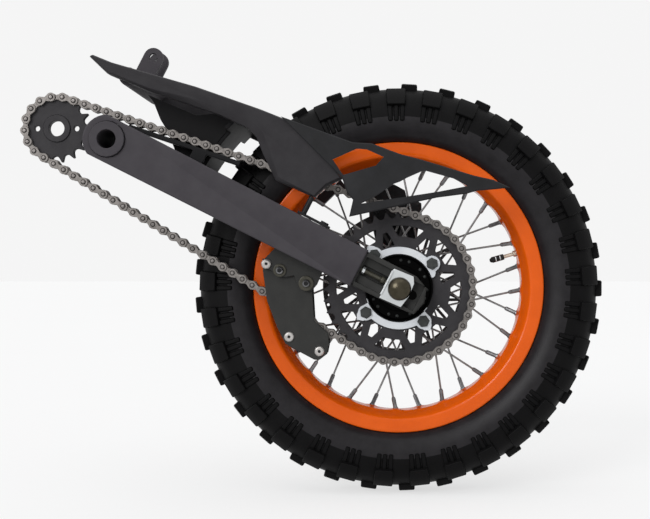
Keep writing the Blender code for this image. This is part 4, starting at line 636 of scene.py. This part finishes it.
def build_valve():
    """Brass stem with a nut at the rim, and a ribbed cap with two bright bands."""
    out = direction(VALVE_ANGLE)
    base = WHEEL + out * (RIM_WELL_RADIUS - VALVE_SINK)
    turn = rod_turn(-out)
    stem, cap, bands = bmesh.new(), bmesh.new(), bmesh.new()
    profile = ((0.0, 0.0), (0.0036, 0.0), (0.0036, 0.0030), (0.0030, 0.0034), (0.0021, 0.0034),
               (0.0021, 0.0160), (0.0, 0.0160))
    add_turned(stem, profile, 24, base, turn)
    place_mesh("valve_body", stem, BRASS, "valve_stem", replaces=("valve_stem",))
    profile = [(0.0, 0.0140), (0.0026, 0.0140)]
    for rib in range(3):
        y = 0.0145 + rib * 0.0050
        profile += [(0.0034, y), (0.0035, y + 0.0036), (0.0028, y + 0.0040)]
    profile += [(0.0026, 0.0295), (0.0015, 0.0308), (0.0, 0.0308)]
    add_turned(cap, profile, 24, base, turn)
    place_mesh("valve_cap", cap, CAP_PLASTIC, "valve_stem", sharp=45.0, replaces=("valve_stem",))
    for y in (0.0181, 0.0231):
        profile = ((0.0030, y), (0.0036, y + 0.0001), (0.0036, y + 0.0011), (0.0030, y + 0.0012))
        add_turned(bands, profile, 24, base, turn)
    place_mesh("valve_bands", bands, ZINC, "valve_stem", sharp=45.0)


# Chain drive

def sprocket_outline(centre, teeth, pitch_radius, first_valley):
    """Round valleys for the rollers and narrow pointed teeth."""
    step = 2.0 * math.pi / teeth
    points = []
    for tooth in range(teeth):
        angle = first_valley + tooth * step
        valley = direction(angle) * pitch_radius
        for i in range(2 * VALLEY_STEPS + 1):
            turn = angle + math.pi + VALLEY_SWEEP * (i / VALLEY_STEPS - 1.0)
            points.append(centre + valley + direction(turn) * (ROLLER_RADIUS + ROLLER_PLAY))
        for share in (-TOOTH_TIP_SHARE, TOOTH_TIP_SHARE):
            points.append(centre + direction(angle + step * (0.5 + share)) * (pitch_radius + TOOTH_TIP))
    return sorted(points, key=lambda point: math.atan2(point.z - centre.z, point.x - centre.x))


def window_points(centre_angle, corners):
    """Places from (radius, degrees from the window's middle)."""
    return [WHEEL + direction(centre_angle + math.radians(angle)) * radius for radius, angle in corners]


def build_rear_sprocket():
    """Toothed ring on the hub's cup, with eight broad windows and eight forked ones between them."""
    valley = tangent_headings()[0] - 2.0 * math.pi * CHAIN_START_SHARE / REAR_TEETH
    loops = [sprocket_outline(WHEEL, REAR_TEETH, REAR_PITCH_RADIUS, valley),
             circle_points(WHEEL, CUP_RADIUS + CUP_PLAY, 96)]
    arc = [(0.0685, 15.0 * (2.0 * i / 10.0 - 1.0)) for i in range(11)]
    foot = [(0.0566, 9.0 * (1.0 - 2.0 * i / 6.0)) for i in range(7)]
    fork = [(0.0470, -8.3), (0.0466, 0.0), (0.0470, 8.3), (0.0620, 2.2), (0.0620, -2.2)]
    for index in range(8):
        angle = BOLT_ANGLE + index * math.pi / 4.0
        loops.append(rounded(window_points(angle, arc + foot), 0.0016, 3))
        loops.append(rounded(window_points(angle + math.pi / 8.0, fork), 0.0014, 3))
    work = bmesh.new()
    middle = MID_Y + CHAIN_Y
    add_plate(work, loops, middle - TOOTH_WIDTH / 2.0, middle + TOOTH_WIDTH / 2.0, SPROCKET_CHAMFER)
    place_mesh("rear_sprocket_cut", work, SPROCKET_STEEL, "rear_sprocket", sharp=25.0,
               replaces=("rear_sprocket",))


def build_lock_plates():
    """Two bright plates under a pair of bolts each, with tabs beyond the bolts."""
    face = MID_Y + SPROCKET_FACE - LOCK_GAP
    for label, middle in (("upper", BOLT_ANGLE + math.pi / 4.0), ("lower", BOLT_ANGLE + math.pi * 1.25)):
        outer, inner = [], []
        count = 140
        for i in range(count + 1):
            angle = middle + LOCK_HALF_ANGLE * (2.0 * (i / count) - 1.0)
            outer.append(WHEEL + direction(angle) * plate_radius(angle, middle, label))
        count = 60
        for i in range(count + 1):
            angle = middle + LOCK_HALF_ANGLE * (1.0 - 2.0 * i / count)
            inner.append(WHEEL + direction(angle) * LOCK_INNER_RADIUS)
        work, heads = bmesh.new(), bmesh.new()
        add_plate(work, [outer + inner], face - LOCK_THICKNESS, face, 0.0004)
        for side in (-1.0, 1.0):
            angle = middle + side * math.pi / 4.0
            centre = WHEEL + direction(angle) * BOLT_CIRCLE_RADIUS
            centre.y = face - LOCK_THICKNESS
            hexagon = rounded(circle_points(centre, BOLT_RADIUS, 6, angle), 0.0006, 2)
            add_plate(heads, [hexagon], centre.y - BOLT_HEIGHT, centre.y + 0.0002, 0.0005)
            add_turned(heads, ((0.0, 0.0), (0.0045, 0.0), (0.0045, -0.0036), (0.0, -0.0039)), 24, centre)
        node = "lock_plate_" + label
        place_mesh(node + "_cut", work, RING_ALLOY, node, sharp=25.0, replaces=(node,))
        place_mesh(node + "_bolts", heads, BOLT_STEEL, "rear_sprocket", body=BODIES[node], sharp=25.0)


def plate_radius(angle, middle, label):
    """Outer radius of a lock plate at one heading: a band, a boss round each bolt and a tab beyond it."""
    away = abs(angle - middle)
    from_bolt = away - math.pi / 4.0
    round_tab = label == "upper" and angle < middle
    widest = LOCK_NARROW_RADIUS
    if away < math.pi / 4.0:
        widest = LOCK_WIDE_RADIUS
    elif round_tab and from_bolt < ROUND_TAB_ANGLE:
        fall = (from_bolt / ROUND_TAB_ANGLE) ** 3
        widest = LOCK_NARROW_RADIUS + ROUND_TAB_HEIGHT * math.sqrt(max(0.0, 1.0 - fall))
    reach = LOCK_BOSS_RADIUS ** 2 - (BOLT_CIRCLE_RADIUS * math.sin(from_bolt)) ** 2
    if reach > 0.0:
        widest = max(widest, BOLT_CIRCLE_RADIUS * math.cos(from_bolt) + math.sqrt(reach))
    across = abs(math.sin(from_bolt)) * TAB_ARM
    if not round_tab and across < POINTED_TAB_HALF_WIDTH:
        widest = max(widest, POINTED_TAB_RADIUS - across * POINTED_TAB_SLOPE)
    return widest


def tangent_headings():
    """Headings of the points where the chain's upper and lower runs leave either sprocket."""
    back = Vector((WHEEL.x - FRONT.x, 0.0, WHEEL.z - FRONT.z))
    lean = math.asin((REAR_PITCH_RADIUS - FRONT_PITCH_RADIUS) / back.length)
    heading = math.atan2(back.z, back.x)
    return heading + math.pi / 2.0 + lean, heading - math.pi / 2.0 - lean


def chain_pins():
    """Centre of each pin, its outward direction and its stretch, in the order of the CAD's chain."""
    rear = Vector((WHEEL.x, FRONT.y, WHEEL.z))
    upper, lower = tangent_headings()
    wrap = upper - lower
    spread = (rear - FRONT).length
    run = math.sqrt(spread ** 2 - (REAR_PITCH_RADIUS - FRONT_PITCH_RADIUS) ** 2)
    rear_arc = REAR_PITCH_RADIUS * wrap
    front_arc = FRONT_PITCH_RADIUS * (2.0 * math.pi - wrap)
    step = (rear_arc + front_arc + 2.0 * run) / CHAIN_LINKS
    arcs = {"rear": (rear, REAR_PITCH_RADIUS, upper), "front": (FRONT, FRONT_PITCH_RADIUS, lower)}
    stretches = (("rear", rear_arc), ("lower", run), ("front", front_arc), ("upper", math.inf))
    pins = []
    for index in range(CHAIN_LINKS):
        distance = (index + CHAIN_START_SHARE) * step
        for stretch, length in stretches:
            if distance < length:
                break
            distance -= length
        if stretch in arcs:
            centre, radius, first = arcs[stretch]
            out = direction(first - distance / radius)
            place = centre + out * radius
        else:
            out = direction(lower if stretch == "lower" else upper)
            ends = (rear + out * REAR_PITCH_RADIUS, FRONT + out * FRONT_PITCH_RADIUS)
            near, far = ends if stretch == "lower" else ends[::-1]
            place = near.lerp(far, distance / run)
        pins.append((place, out, stretch))
    return pins


def link_outline(first, second):
    """Outline of one side plate: round ends about two pins, with a waist between them."""
    along = (second - first).normalized()
    across = Vector((-along.z, 0.0, along.x))
    heading = math.atan2(along.z, along.x)
    middle = (first + second) / 2.0
    points = []
    for pin, start, side in ((first, 52.0, -1.0), (second, -128.0, 1.0)):
        for i in range(11):
            points.append(pin + direction(heading + math.radians(start + 25.6 * i)) * (PLATE_HEIGHT / 2.0))
        points.append(middle + across * (side * PLATE_WAIST / 2.0))
    return points


def build_chain():
    """Side plates in two layers, rollers, and a pin's end on each side, ringed by a dark disc that is painted
    shade of the groove round the pin.
    """
    pins = chain_pins()
    plates, pegs, shade_rings, rollers = bmesh.new(), bmesh.new(), bmesh.new(), bmesh.new()
    roll = Vector((0.0, PLATE_GAP / 2.0, 0.0))
    reach = PLATE_GAP / 2.0 + 2.0 * PLATE_THICKNESS
    for index, (place, _, _) in enumerate(pins):
        outline = link_outline(place, pins[(index + 1) % len(pins)][0])
        near = PLATE_GAP / 2.0 + index % 2 * PLATE_THICKNESS
        for side in (-1.0, 1.0):
            low, high = sorted(FRONT.y + side * y for y in (near, near + PLATE_THICKNESS * PLATE_SHARE))
            add_plate(plates, [outline], low, high, PLATE_CHAMFER)
            face = place + Vector((0.0, side * (reach - PEG_SINK), 0.0))
            # Dark ring round the pin's end: painted shade.
            seat = ((0.0, 0.0), (0.0030, 0.0), (0.0027, side * 0.0003), (0.0, side * 0.0003))
            peg = ((0.0, 0.0), (0.0019, 0.0), (0.0017, side * 0.0011), (0.0, side * 0.0012))
            add_turned(shade_rings, seat, 16, face)
            add_turned(pegs, peg, 12, face)
        add_rod(rollers, place - roll, place + roll, ROLLER_RADIUS, 14)
    place_mesh("chain_plates", plates, CHAIN_STEEL, "chain", sharp=25.0, replaces=("chain",))
    place_mesh("chain_pegs", pegs, CHAIN_PIN, "chain", replaces=("chain",))
    place_mesh("chain_shade_rings", shade_rings, CHAIN_PAINTED_SHADE, "chain")
    place_mesh("chain_rollers", rollers, CHAIN_PIN, "chain", replaces=("chain",))


def build_front_sprocket():
    """Toothed ring with two holes, on a collar."""
    out = next(out for _, out, stretch in chain_pins() if stretch == "front")
    loops = [sprocket_outline(FRONT, FRONT_TEETH, FRONT_PITCH_RADIUS, math.atan2(out.z, out.x)),
             circle_points(FRONT, 0.0148, 48)]
    for side in (-1.0, 1.0):
        loops.append(circle_points(FRONT + Vector((side * 0.0215, 0.0, 0.0)), 0.003, 20))
    work = bmesh.new()
    add_plate(work, loops, FRONT.y - TOOTH_WIDTH / 2.0, FRONT.y + TOOTH_WIDTH / 2.0, SPROCKET_CHAMFER)
    profile = ((0.0085, -0.0039), (0.0091, -0.0045), (0.0143, -0.0045), (0.0150, -0.0038), (0.0150, 0.0038),
               (0.0143, 0.0045), (0.0091, 0.0045), (0.0085, 0.0039))
    add_turned(work, profile, 48, FRONT)
    place_mesh("front_sprocket_cut", work, SPROCKET_STEEL, "front_sprocket", sharp=25.0,
               replaces=("front_sprocket",))


# Fixings

def arm_place(u, n, y):
    """World place from distances along and above the arm, in metres, and from the mid-plane."""
    return PIVOT + ALONG * u + ABOVE * n + Vector((0.0, y, 0.0))


def add_screw(work, place, radius, height, socket):
    """Domed screw head facing -Y, with a socket sunk in it."""
    profile = ((0.0, 0.0), (radius, 0.0), (radius, -0.35 * height), (0.86 * radius, -0.75 * height),
               (0.62 * radius, -height), (socket, -height), (socket * 0.95, -0.45 * height),
               (0.0, -0.40 * height))
    add_turned(work, profile, 24, place)


def build_guide_screws():
    """Three pale screws and two bolts with dark collars on the chain guide, each with a black plug in its socket
    that is painted shade.
    """
    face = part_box("chain_guide_outer")[0][1]
    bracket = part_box("chain_guide_bracket")[0][1]
    pans, socket_shades, bolts, heads = bmesh.new(), bmesh.new(), bmesh.new(), bmesh.new()
    socket = ((0.0, -0.0013), (0.0015, -0.0013), (0.0015, -0.0027), (0.0, -0.0027))
    for u, n, y in ((0.2090, -0.0418, bracket), (0.2667, -0.1012, face), (0.3031, -0.1003, face)):
        place = arm_place(u, n, 0.0)
        place.y = y
        add_screw(pans, place, 0.0055, 0.0028, 0.0017)
        add_turned(socket_shades, socket, 6, place)
    place_mesh("guide_screws", pans, PALE_SCREW, "stay_rod", sharp=25.0)
    socket = ((0.0, -0.0015), (0.0024, -0.0015), (0.0024, -0.0033), (0.0, -0.0033))
    for u, n, radius in ((0.2251, -0.0415, 0.0070), (0.2570, -0.0410, 0.0082)):
        place = arm_place(u, n, 0.0)
        place.y = bracket
        collar = ((0.0, 0.0), (radius, 0.0), (radius, -0.0012), (radius - 0.0008, -0.0016), (0.0, -0.0016))
        add_turned(bolts, collar, 32, place)
        place.y -= 0.0015
        add_screw(heads, place, 0.0044, 0.0036, 0.0025)
        add_turned(socket_shades, socket, 6, place)
    place_mesh("guide_bolts", bolts, DARK_OLIVE, "stay_rod", sharp=25.0)
    place_mesh("guide_heads", heads, NIPPLE_STEEL, "stay_rod", sharp=25.0)
    # Black plugs in the sockets: painted shade.
    place_mesh("guide_socket_shades", socket_shades, BLACK_PAINT, "stay_rod")


def build_axle():
    """Domed head and plain shank with a chamfered end."""
    low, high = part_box("axle")[0][1] - MID_Y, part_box("axle")[1][1] - MID_Y
    head = 0.0085
    profile = [(0.0, high), (0.0062, high), (0.0075, high - 0.0012), (0.0075, low + head),
               (0.0125, low + head), (0.0125, low + head - 0.0010)]
    for i in range(1, 9):
        turn = math.radians(10.0 * i)
        profile.append((0.0123 * math.cos(turn), low + (head - 0.0010) * (1.0 - math.sin(turn))))
    work = bmesh.new()
    add_turned(work, profile + [(0.0, low)], 48, WHEEL)
    place_mesh("axle_turned", work, BRONZE_STEEL, "axle", sharp=40.0, replaces=("axle",))


def build_corner_shade():
    """Painted shade: a black rod in the corner between each spar's end and the dropout's floor, and a near-black
    disc at the slot's end.
    """
    half_length, shade_rod_radius = 0.0185, 0.0017
    for label, side in (("left", -1.0), ("right", 1.0)):
        spar = frame["nodes"]["spar_" + label]
        end = max((vert.co - PIVOT).dot(ALONG) for vert in spar.data.vertices) + 0.0006
        low, high = (Vector(corner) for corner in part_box("dropout_" + label))
        floor = (low.y if side < 0.0 else high.y) - MID_Y - side * 0.0075
        work, dark = bmesh.new(), bmesh.new()
        # Black rod along the corner: painted shade.
        shade_rod = [arm_place(end, n, floor) for n in (-half_length, half_length)]
        add_rod(work, *shade_rod, shade_rod_radius, 12)
        place_mesh("corner_shade_" + label, work, NYLON, "dropout_" + label)
        # Near-black disc at the slot's end: painted shade.
        profile = ((0.0, -0.001), (0.0050, -0.001), (0.0050, 0.0), (0.0047, 0.0002), (0.0, 0.0002))
        place = WHEEL + ALONG * 0.0155 + Vector((0.0, side * (abs(floor) + 0.0016), 0.0))
        add_turned(dark, [(radius, side * y) for radius, y in profile], 24, place)
        place_mesh("slot_end_shade_" + label, dark, HUB_PAINT, "dropout_" + label)


def build_adjusters():
    """Adjuster bolt in each dropout's groove: dark threaded rod, bright head and a nut by the axle block."""
    half, threads = 0.0164, 22
    profile = [(0.0, 0.0)]
    for i in range(threads):
        at = 2.0 * half * i / threads
        profile += [(0.0029, at), (0.0025, at + half / threads)]
    profile += [(0.0, 2.0 * half)]
    head = ((0.0, 0.0), (0.0034, 0.0), (0.0038, 0.0005), (0.0038, 0.0030), (0.0, 0.0030))
    nut = ((0.0, 0.0), (0.0036, 0.0), (0.0042, 0.0005), (0.0042, 0.0035), (0.0036, 0.0040), (0.0, 0.0040))
    turn = rod_turn(ALONG)
    for label in ("left", "right"):
        node = "adjuster_" + label
        low, high = (Vector(corner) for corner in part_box(node))
        middle = (low + high) / 2.0
        start = arm_place((middle - PIVOT).dot(ALONG) - half, 0.0, middle.y - MID_Y)
        rod, ends = bmesh.new(), bmesh.new()
        add_turned(rod, profile, 14, start, turn)
        add_turned(ends, head, 6, start + ALONG * 0.0030, turn)
        add_turned(rod, nut, 6, start + ALONG * (2.0 * half - 0.0075), turn)
        place_mesh("adjuster_rod_" + label, rod, DARK_OLIVE, node, sharp=50.0, replaces=(node,))
        place_mesh("adjuster_ends_" + label, ends, ZINC, node, sharp=25.0, replaces=(node,))


# Brake

def build_disc():
    """Braking band with drilled holes, on a carrier of slim crossed struts."""
    low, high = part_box("brake_disc")[0][1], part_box("brake_disc")[1][1]
    loops = [circle_points(WHEEL, DISC_RADIUS, 128), circle_points(WHEEL, DISC_BORE_RADIUS, 40)]
    step = 2.0 * math.pi / LATTICE_COUNT
    inner, outer = LATTICE_INNER, LATTICE_OUTER
    half = STRUT_HALF_WIDTH / inner
    up = [(inner, half), (inner, step - half), (outer - 0.005, step / 2.0 + 0.001),
          (outer - 0.005, step / 2.0 - 0.001)]
    down = [(outer, step / 2.0 + half), (outer, step), (outer, 1.5 * step - half),
            (inner + 0.006, step + 0.0015), (inner + 0.006, step - 0.0015)]
    for index in range(LATTICE_COUNT):
        for corners in (up, down):
            points = [WHEEL + direction(index * step + turn) * radius for radius, turn in corners]
            loops.append(rounded(points, 0.0012, 2))
    for index in range(DISC_HOLES):
        radius = DISC_HOLE_CIRCLE + DISC_HOLE_STEP * (index % 3)
        centre = WHEEL + direction(2.0 * math.pi * index / DISC_HOLES) * radius
        loops.append(circle_points(centre, DISC_HOLE_RADIUS, 10))
    work = bmesh.new()
    add_plate(work, loops, low, high, 0.0002)
    place_mesh("brake_disc_cut", work, DISC_SHADED_STEEL, "brake_disc", sharp=25.0, replaces=("brake_disc",))


def build_disc_bolts():
    """Four bolts with sunk middles on the disc's outer face."""
    work = bmesh.new()
    profile = ((0.0, 0.0), (0.0060, 0.0), (0.0060, 0.0035), (0.0050, 0.0042), (0.0030, 0.0042),
               (0.0028, 0.0020), (0.0, 0.0020))
    for index in range(4):
        place = WHEEL + direction(math.radians(45.0) + index * math.pi / 2.0) * DISC_BOLT_CIRCLE
        place.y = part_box("brake_disc")[1][1]
        add_turned(work, profile, 20, place)
    place_mesh("disc_bolts", work, BOLT_STEEL, "brake_disc", sharp=25.0)


def build_caliper_top():
    """Upper part of the caliper's casting, above the CAD node and short of the rim."""
    low, high = (Vector(corner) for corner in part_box("caliper"))
    outline = ((-0.0330, -0.0100), (-0.0330, 0.0086), (-0.0255, 0.0150), (0.0000, 0.0153), (0.0125, 0.0085),
               (0.0150, -0.0010), (0.0150, -0.0100))
    start = Vector((high.x - 0.0325, 0.0, high.z))
    points = rounded([start + Vector((x, 0.0, z)) for x, z in outline], 0.0028, 4)
    work = bmesh.new()
    add_plate(work, [points], low.y + 0.008, high.y - 0.006, 0.0012)
    place_mesh("caliper_top", work, CALIPER_PAINT, "caliper", sharp=35.0)


# Stage, light and camera

def seen_rays(nodes, links):
    """1 for the rays that show the background: camera, glossy and transmission rays."""
    rays = nodes.new("ShaderNodeLightPath")
    value = rays.outputs["Is Camera Ray"]
    for name in ("Is Glossy Ray", "Is Transmission Ray"):
        either = nodes.new("ShaderNodeMath")
        either.operation = "MAXIMUM"
        links.new(value, either.inputs[0])
        links.new(rays.outputs[name], either.inputs[1])
        value = either.outputs["Value"]
    return value


def floor_material():
    """White to the camera with a soft shadow, and plain grey to the light that it gives back."""
    new = surface("backdrop_pale", (0.96, 0.96, 0.96), (0.97, 0.97, 0.97), (0.9, 0.95), scale=2.0, shine=0.0)
    nodes, links = new.node_tree.nodes, new.node_tree.links
    seen = seen_rays(nodes, links)
    dull = nodes.new("ShaderNodeMix")
    dull.data_type = "RGBA"
    dull.inputs["A"].default_value = grey(FLOOR_GREY)
    links.new(nodes["Color Ramp"].outputs["Color"], dull.inputs["B"])
    links.new(seen, dull.inputs["Factor"])
    links.new(dull.outputs["Result"], nodes["Principled BSDF"].inputs["Base Color"])
    white = add_node(nodes, "ShaderNodeEmission", {"Color": grey(FLOOR_WHITE)})
    part = nodes.new("ShaderNodeMath")
    part.operation = "MULTIPLY"
    part.inputs[1].default_value = FLOOR_GLOW
    links.new(seen, part.inputs[0])
    mixed = nodes.new("ShaderNodeMixShader")
    links.new(part.outputs["Value"], mixed.inputs["Fac"])
    links.new(nodes["Principled BSDF"].outputs["BSDF"], mixed.inputs[1])
    links.new(white.outputs["Emission"], mixed.inputs[2])
    links.new(mixed.outputs["Shader"], nodes["Material Output"].inputs["Surface"])
    return new


def build_stage():
    """Flat pale floor just below the tyre's lowest point."""
    work = bmesh.new()
    work.faces.new([work.verts.new((x, y, WHEEL.z - FLOOR_DROP)) for x, y in FLOOR_CORNERS])
    data = bpy.data.meshes.new("backdrop")
    work.to_mesh(data)
    work.free()
    backdrop = add_object("backdrop", data)
    data.materials.append(floor_material())


def build_world():
    """White to the camera; a soft sky, brighter above, lights the object."""
    world = bpy.data.worlds.new("studio")
    bpy.context.scene.world = world
    world.use_nodes = True
    nodes, links = world.node_tree.nodes, world.node_tree.links
    shown = nodes["Background"]
    shown.inputs["Color"].default_value = grey(WORLD_WHITE)
    lit = add_node(nodes, "ShaderNodeBackground", {"Color": SKY_COLOUR})
    place = nodes.new("ShaderNodeTexCoord")
    parts = nodes.new("ShaderNodeSeparateXYZ")
    links.new(place.outputs["Generated"], parts.inputs["Vector"])
    rise = add_node(nodes, "ShaderNodeMapRange",
                    {"From Min": -0.1, "From Max": 0.9, "To Min": SKY_LOW, "To Max": SKY_HIGH})
    links.new(parts.outputs["Z"], rise.inputs["Value"])
    links.new(rise.outputs["Result"], lit.inputs["Strength"])
    mixed = nodes.new("ShaderNodeMixShader")
    links.new(seen_rays(nodes, links), mixed.inputs["Fac"])
    links.new(lit.outputs["Background"], mixed.inputs[1])
    links.new(shown.outputs["Background"], mixed.inputs[2])
    links.new(mixed.outputs["Shader"], nodes["World Output"].inputs["Surface"])


def add_sun(name, strength, angle, heading):
    """Distant lamp that shines along a heading, with a disc of some degrees."""
    data = bpy.data.lights.new(name, "SUN")
    data.energy = strength
    data.angle = math.radians(angle)
    turn = Vector((0.0, 0.0, -1.0)).rotation_difference(Vector(heading))
    add_object(name, data).rotation_euler = turn.to_euler()


def build_camera():
    """Level camera that looks along +Y."""
    data = bpy.data.cameras.new("camera")
    data.lens = CAMERA_LENS
    data.sensor_width = SENSOR_WIDTH
    data.shift_x, data.shift_y = CAMERA_SHIFT
    data.clip_end = CAMERA_REACH
    camera = add_object("camera", data)
    camera.location = CAMERA_PLACE
    camera.rotation_euler = (math.radians(90.0), 0.0, 0.0)
    bpy.context.scene.camera = camera


# Width of the rounded edges on the copy of each CAD node that is kept whole
EDGE_WIDTHS = {
    "spar_left": 0.0016, "spar_right": 0.0016, "truss_left": 0.0014, "truss_right": 0.0014,
    "pivot_tube": 0.0008, "lower_cross_tube": 0.0003, "upper_cross_tube": 0.0003, "cross_shell": 0.0008,
    "web_left": 0.0006, "web_right": 0.0006, "shock_clevis": 0.0008, "dropout_left": 0.0008,
    "dropout_right": 0.0008, "axle_block_left": 0.0004, "axle_block_right": 0.0004, "axle_nut": 0.0006,
    "wheel_spacer_left": 0.0004, "wheel_spacer_right": 0.0003, "caliper": 0.0014, "caliper_bracket": 0.0006,
    "chain_guard": 0.0008, "chain_guide_outer": 0.0006, "chain_guide_inner": 0.0006, "chain_guide_block": 0.0008,
    "chain_guide_bracket": 0.0006, "chain_slider": 0.0010, "stay_rod": 0.0004}

build_tyre()
build_rim()
build_spokes()
build_hub()
build_valve()
build_rear_sprocket()
build_lock_plates()
build_chain()
build_front_sprocket()
build_guide_screws()
build_axle()
build_adjusters()
build_disc()
build_disc_bolts()
build_caliper_top()
build_corner_shade()
for name, width in EDGE_WIDTHS.items():
    soften(name, width)
for name, node in frame["nodes"].items():
    for entry in node.material_slots:
        entry.material = look_of(name)
build_stage()
build_world()
add_sun("above", 0.7, 60.0, (0.10, 0.30, -1.0))
add_sun("front", 1.35, 28.0, (0.50, 0.80, -0.38))
build_camera()
bpy.context.scene.view_settings.view_transform = "Standard"
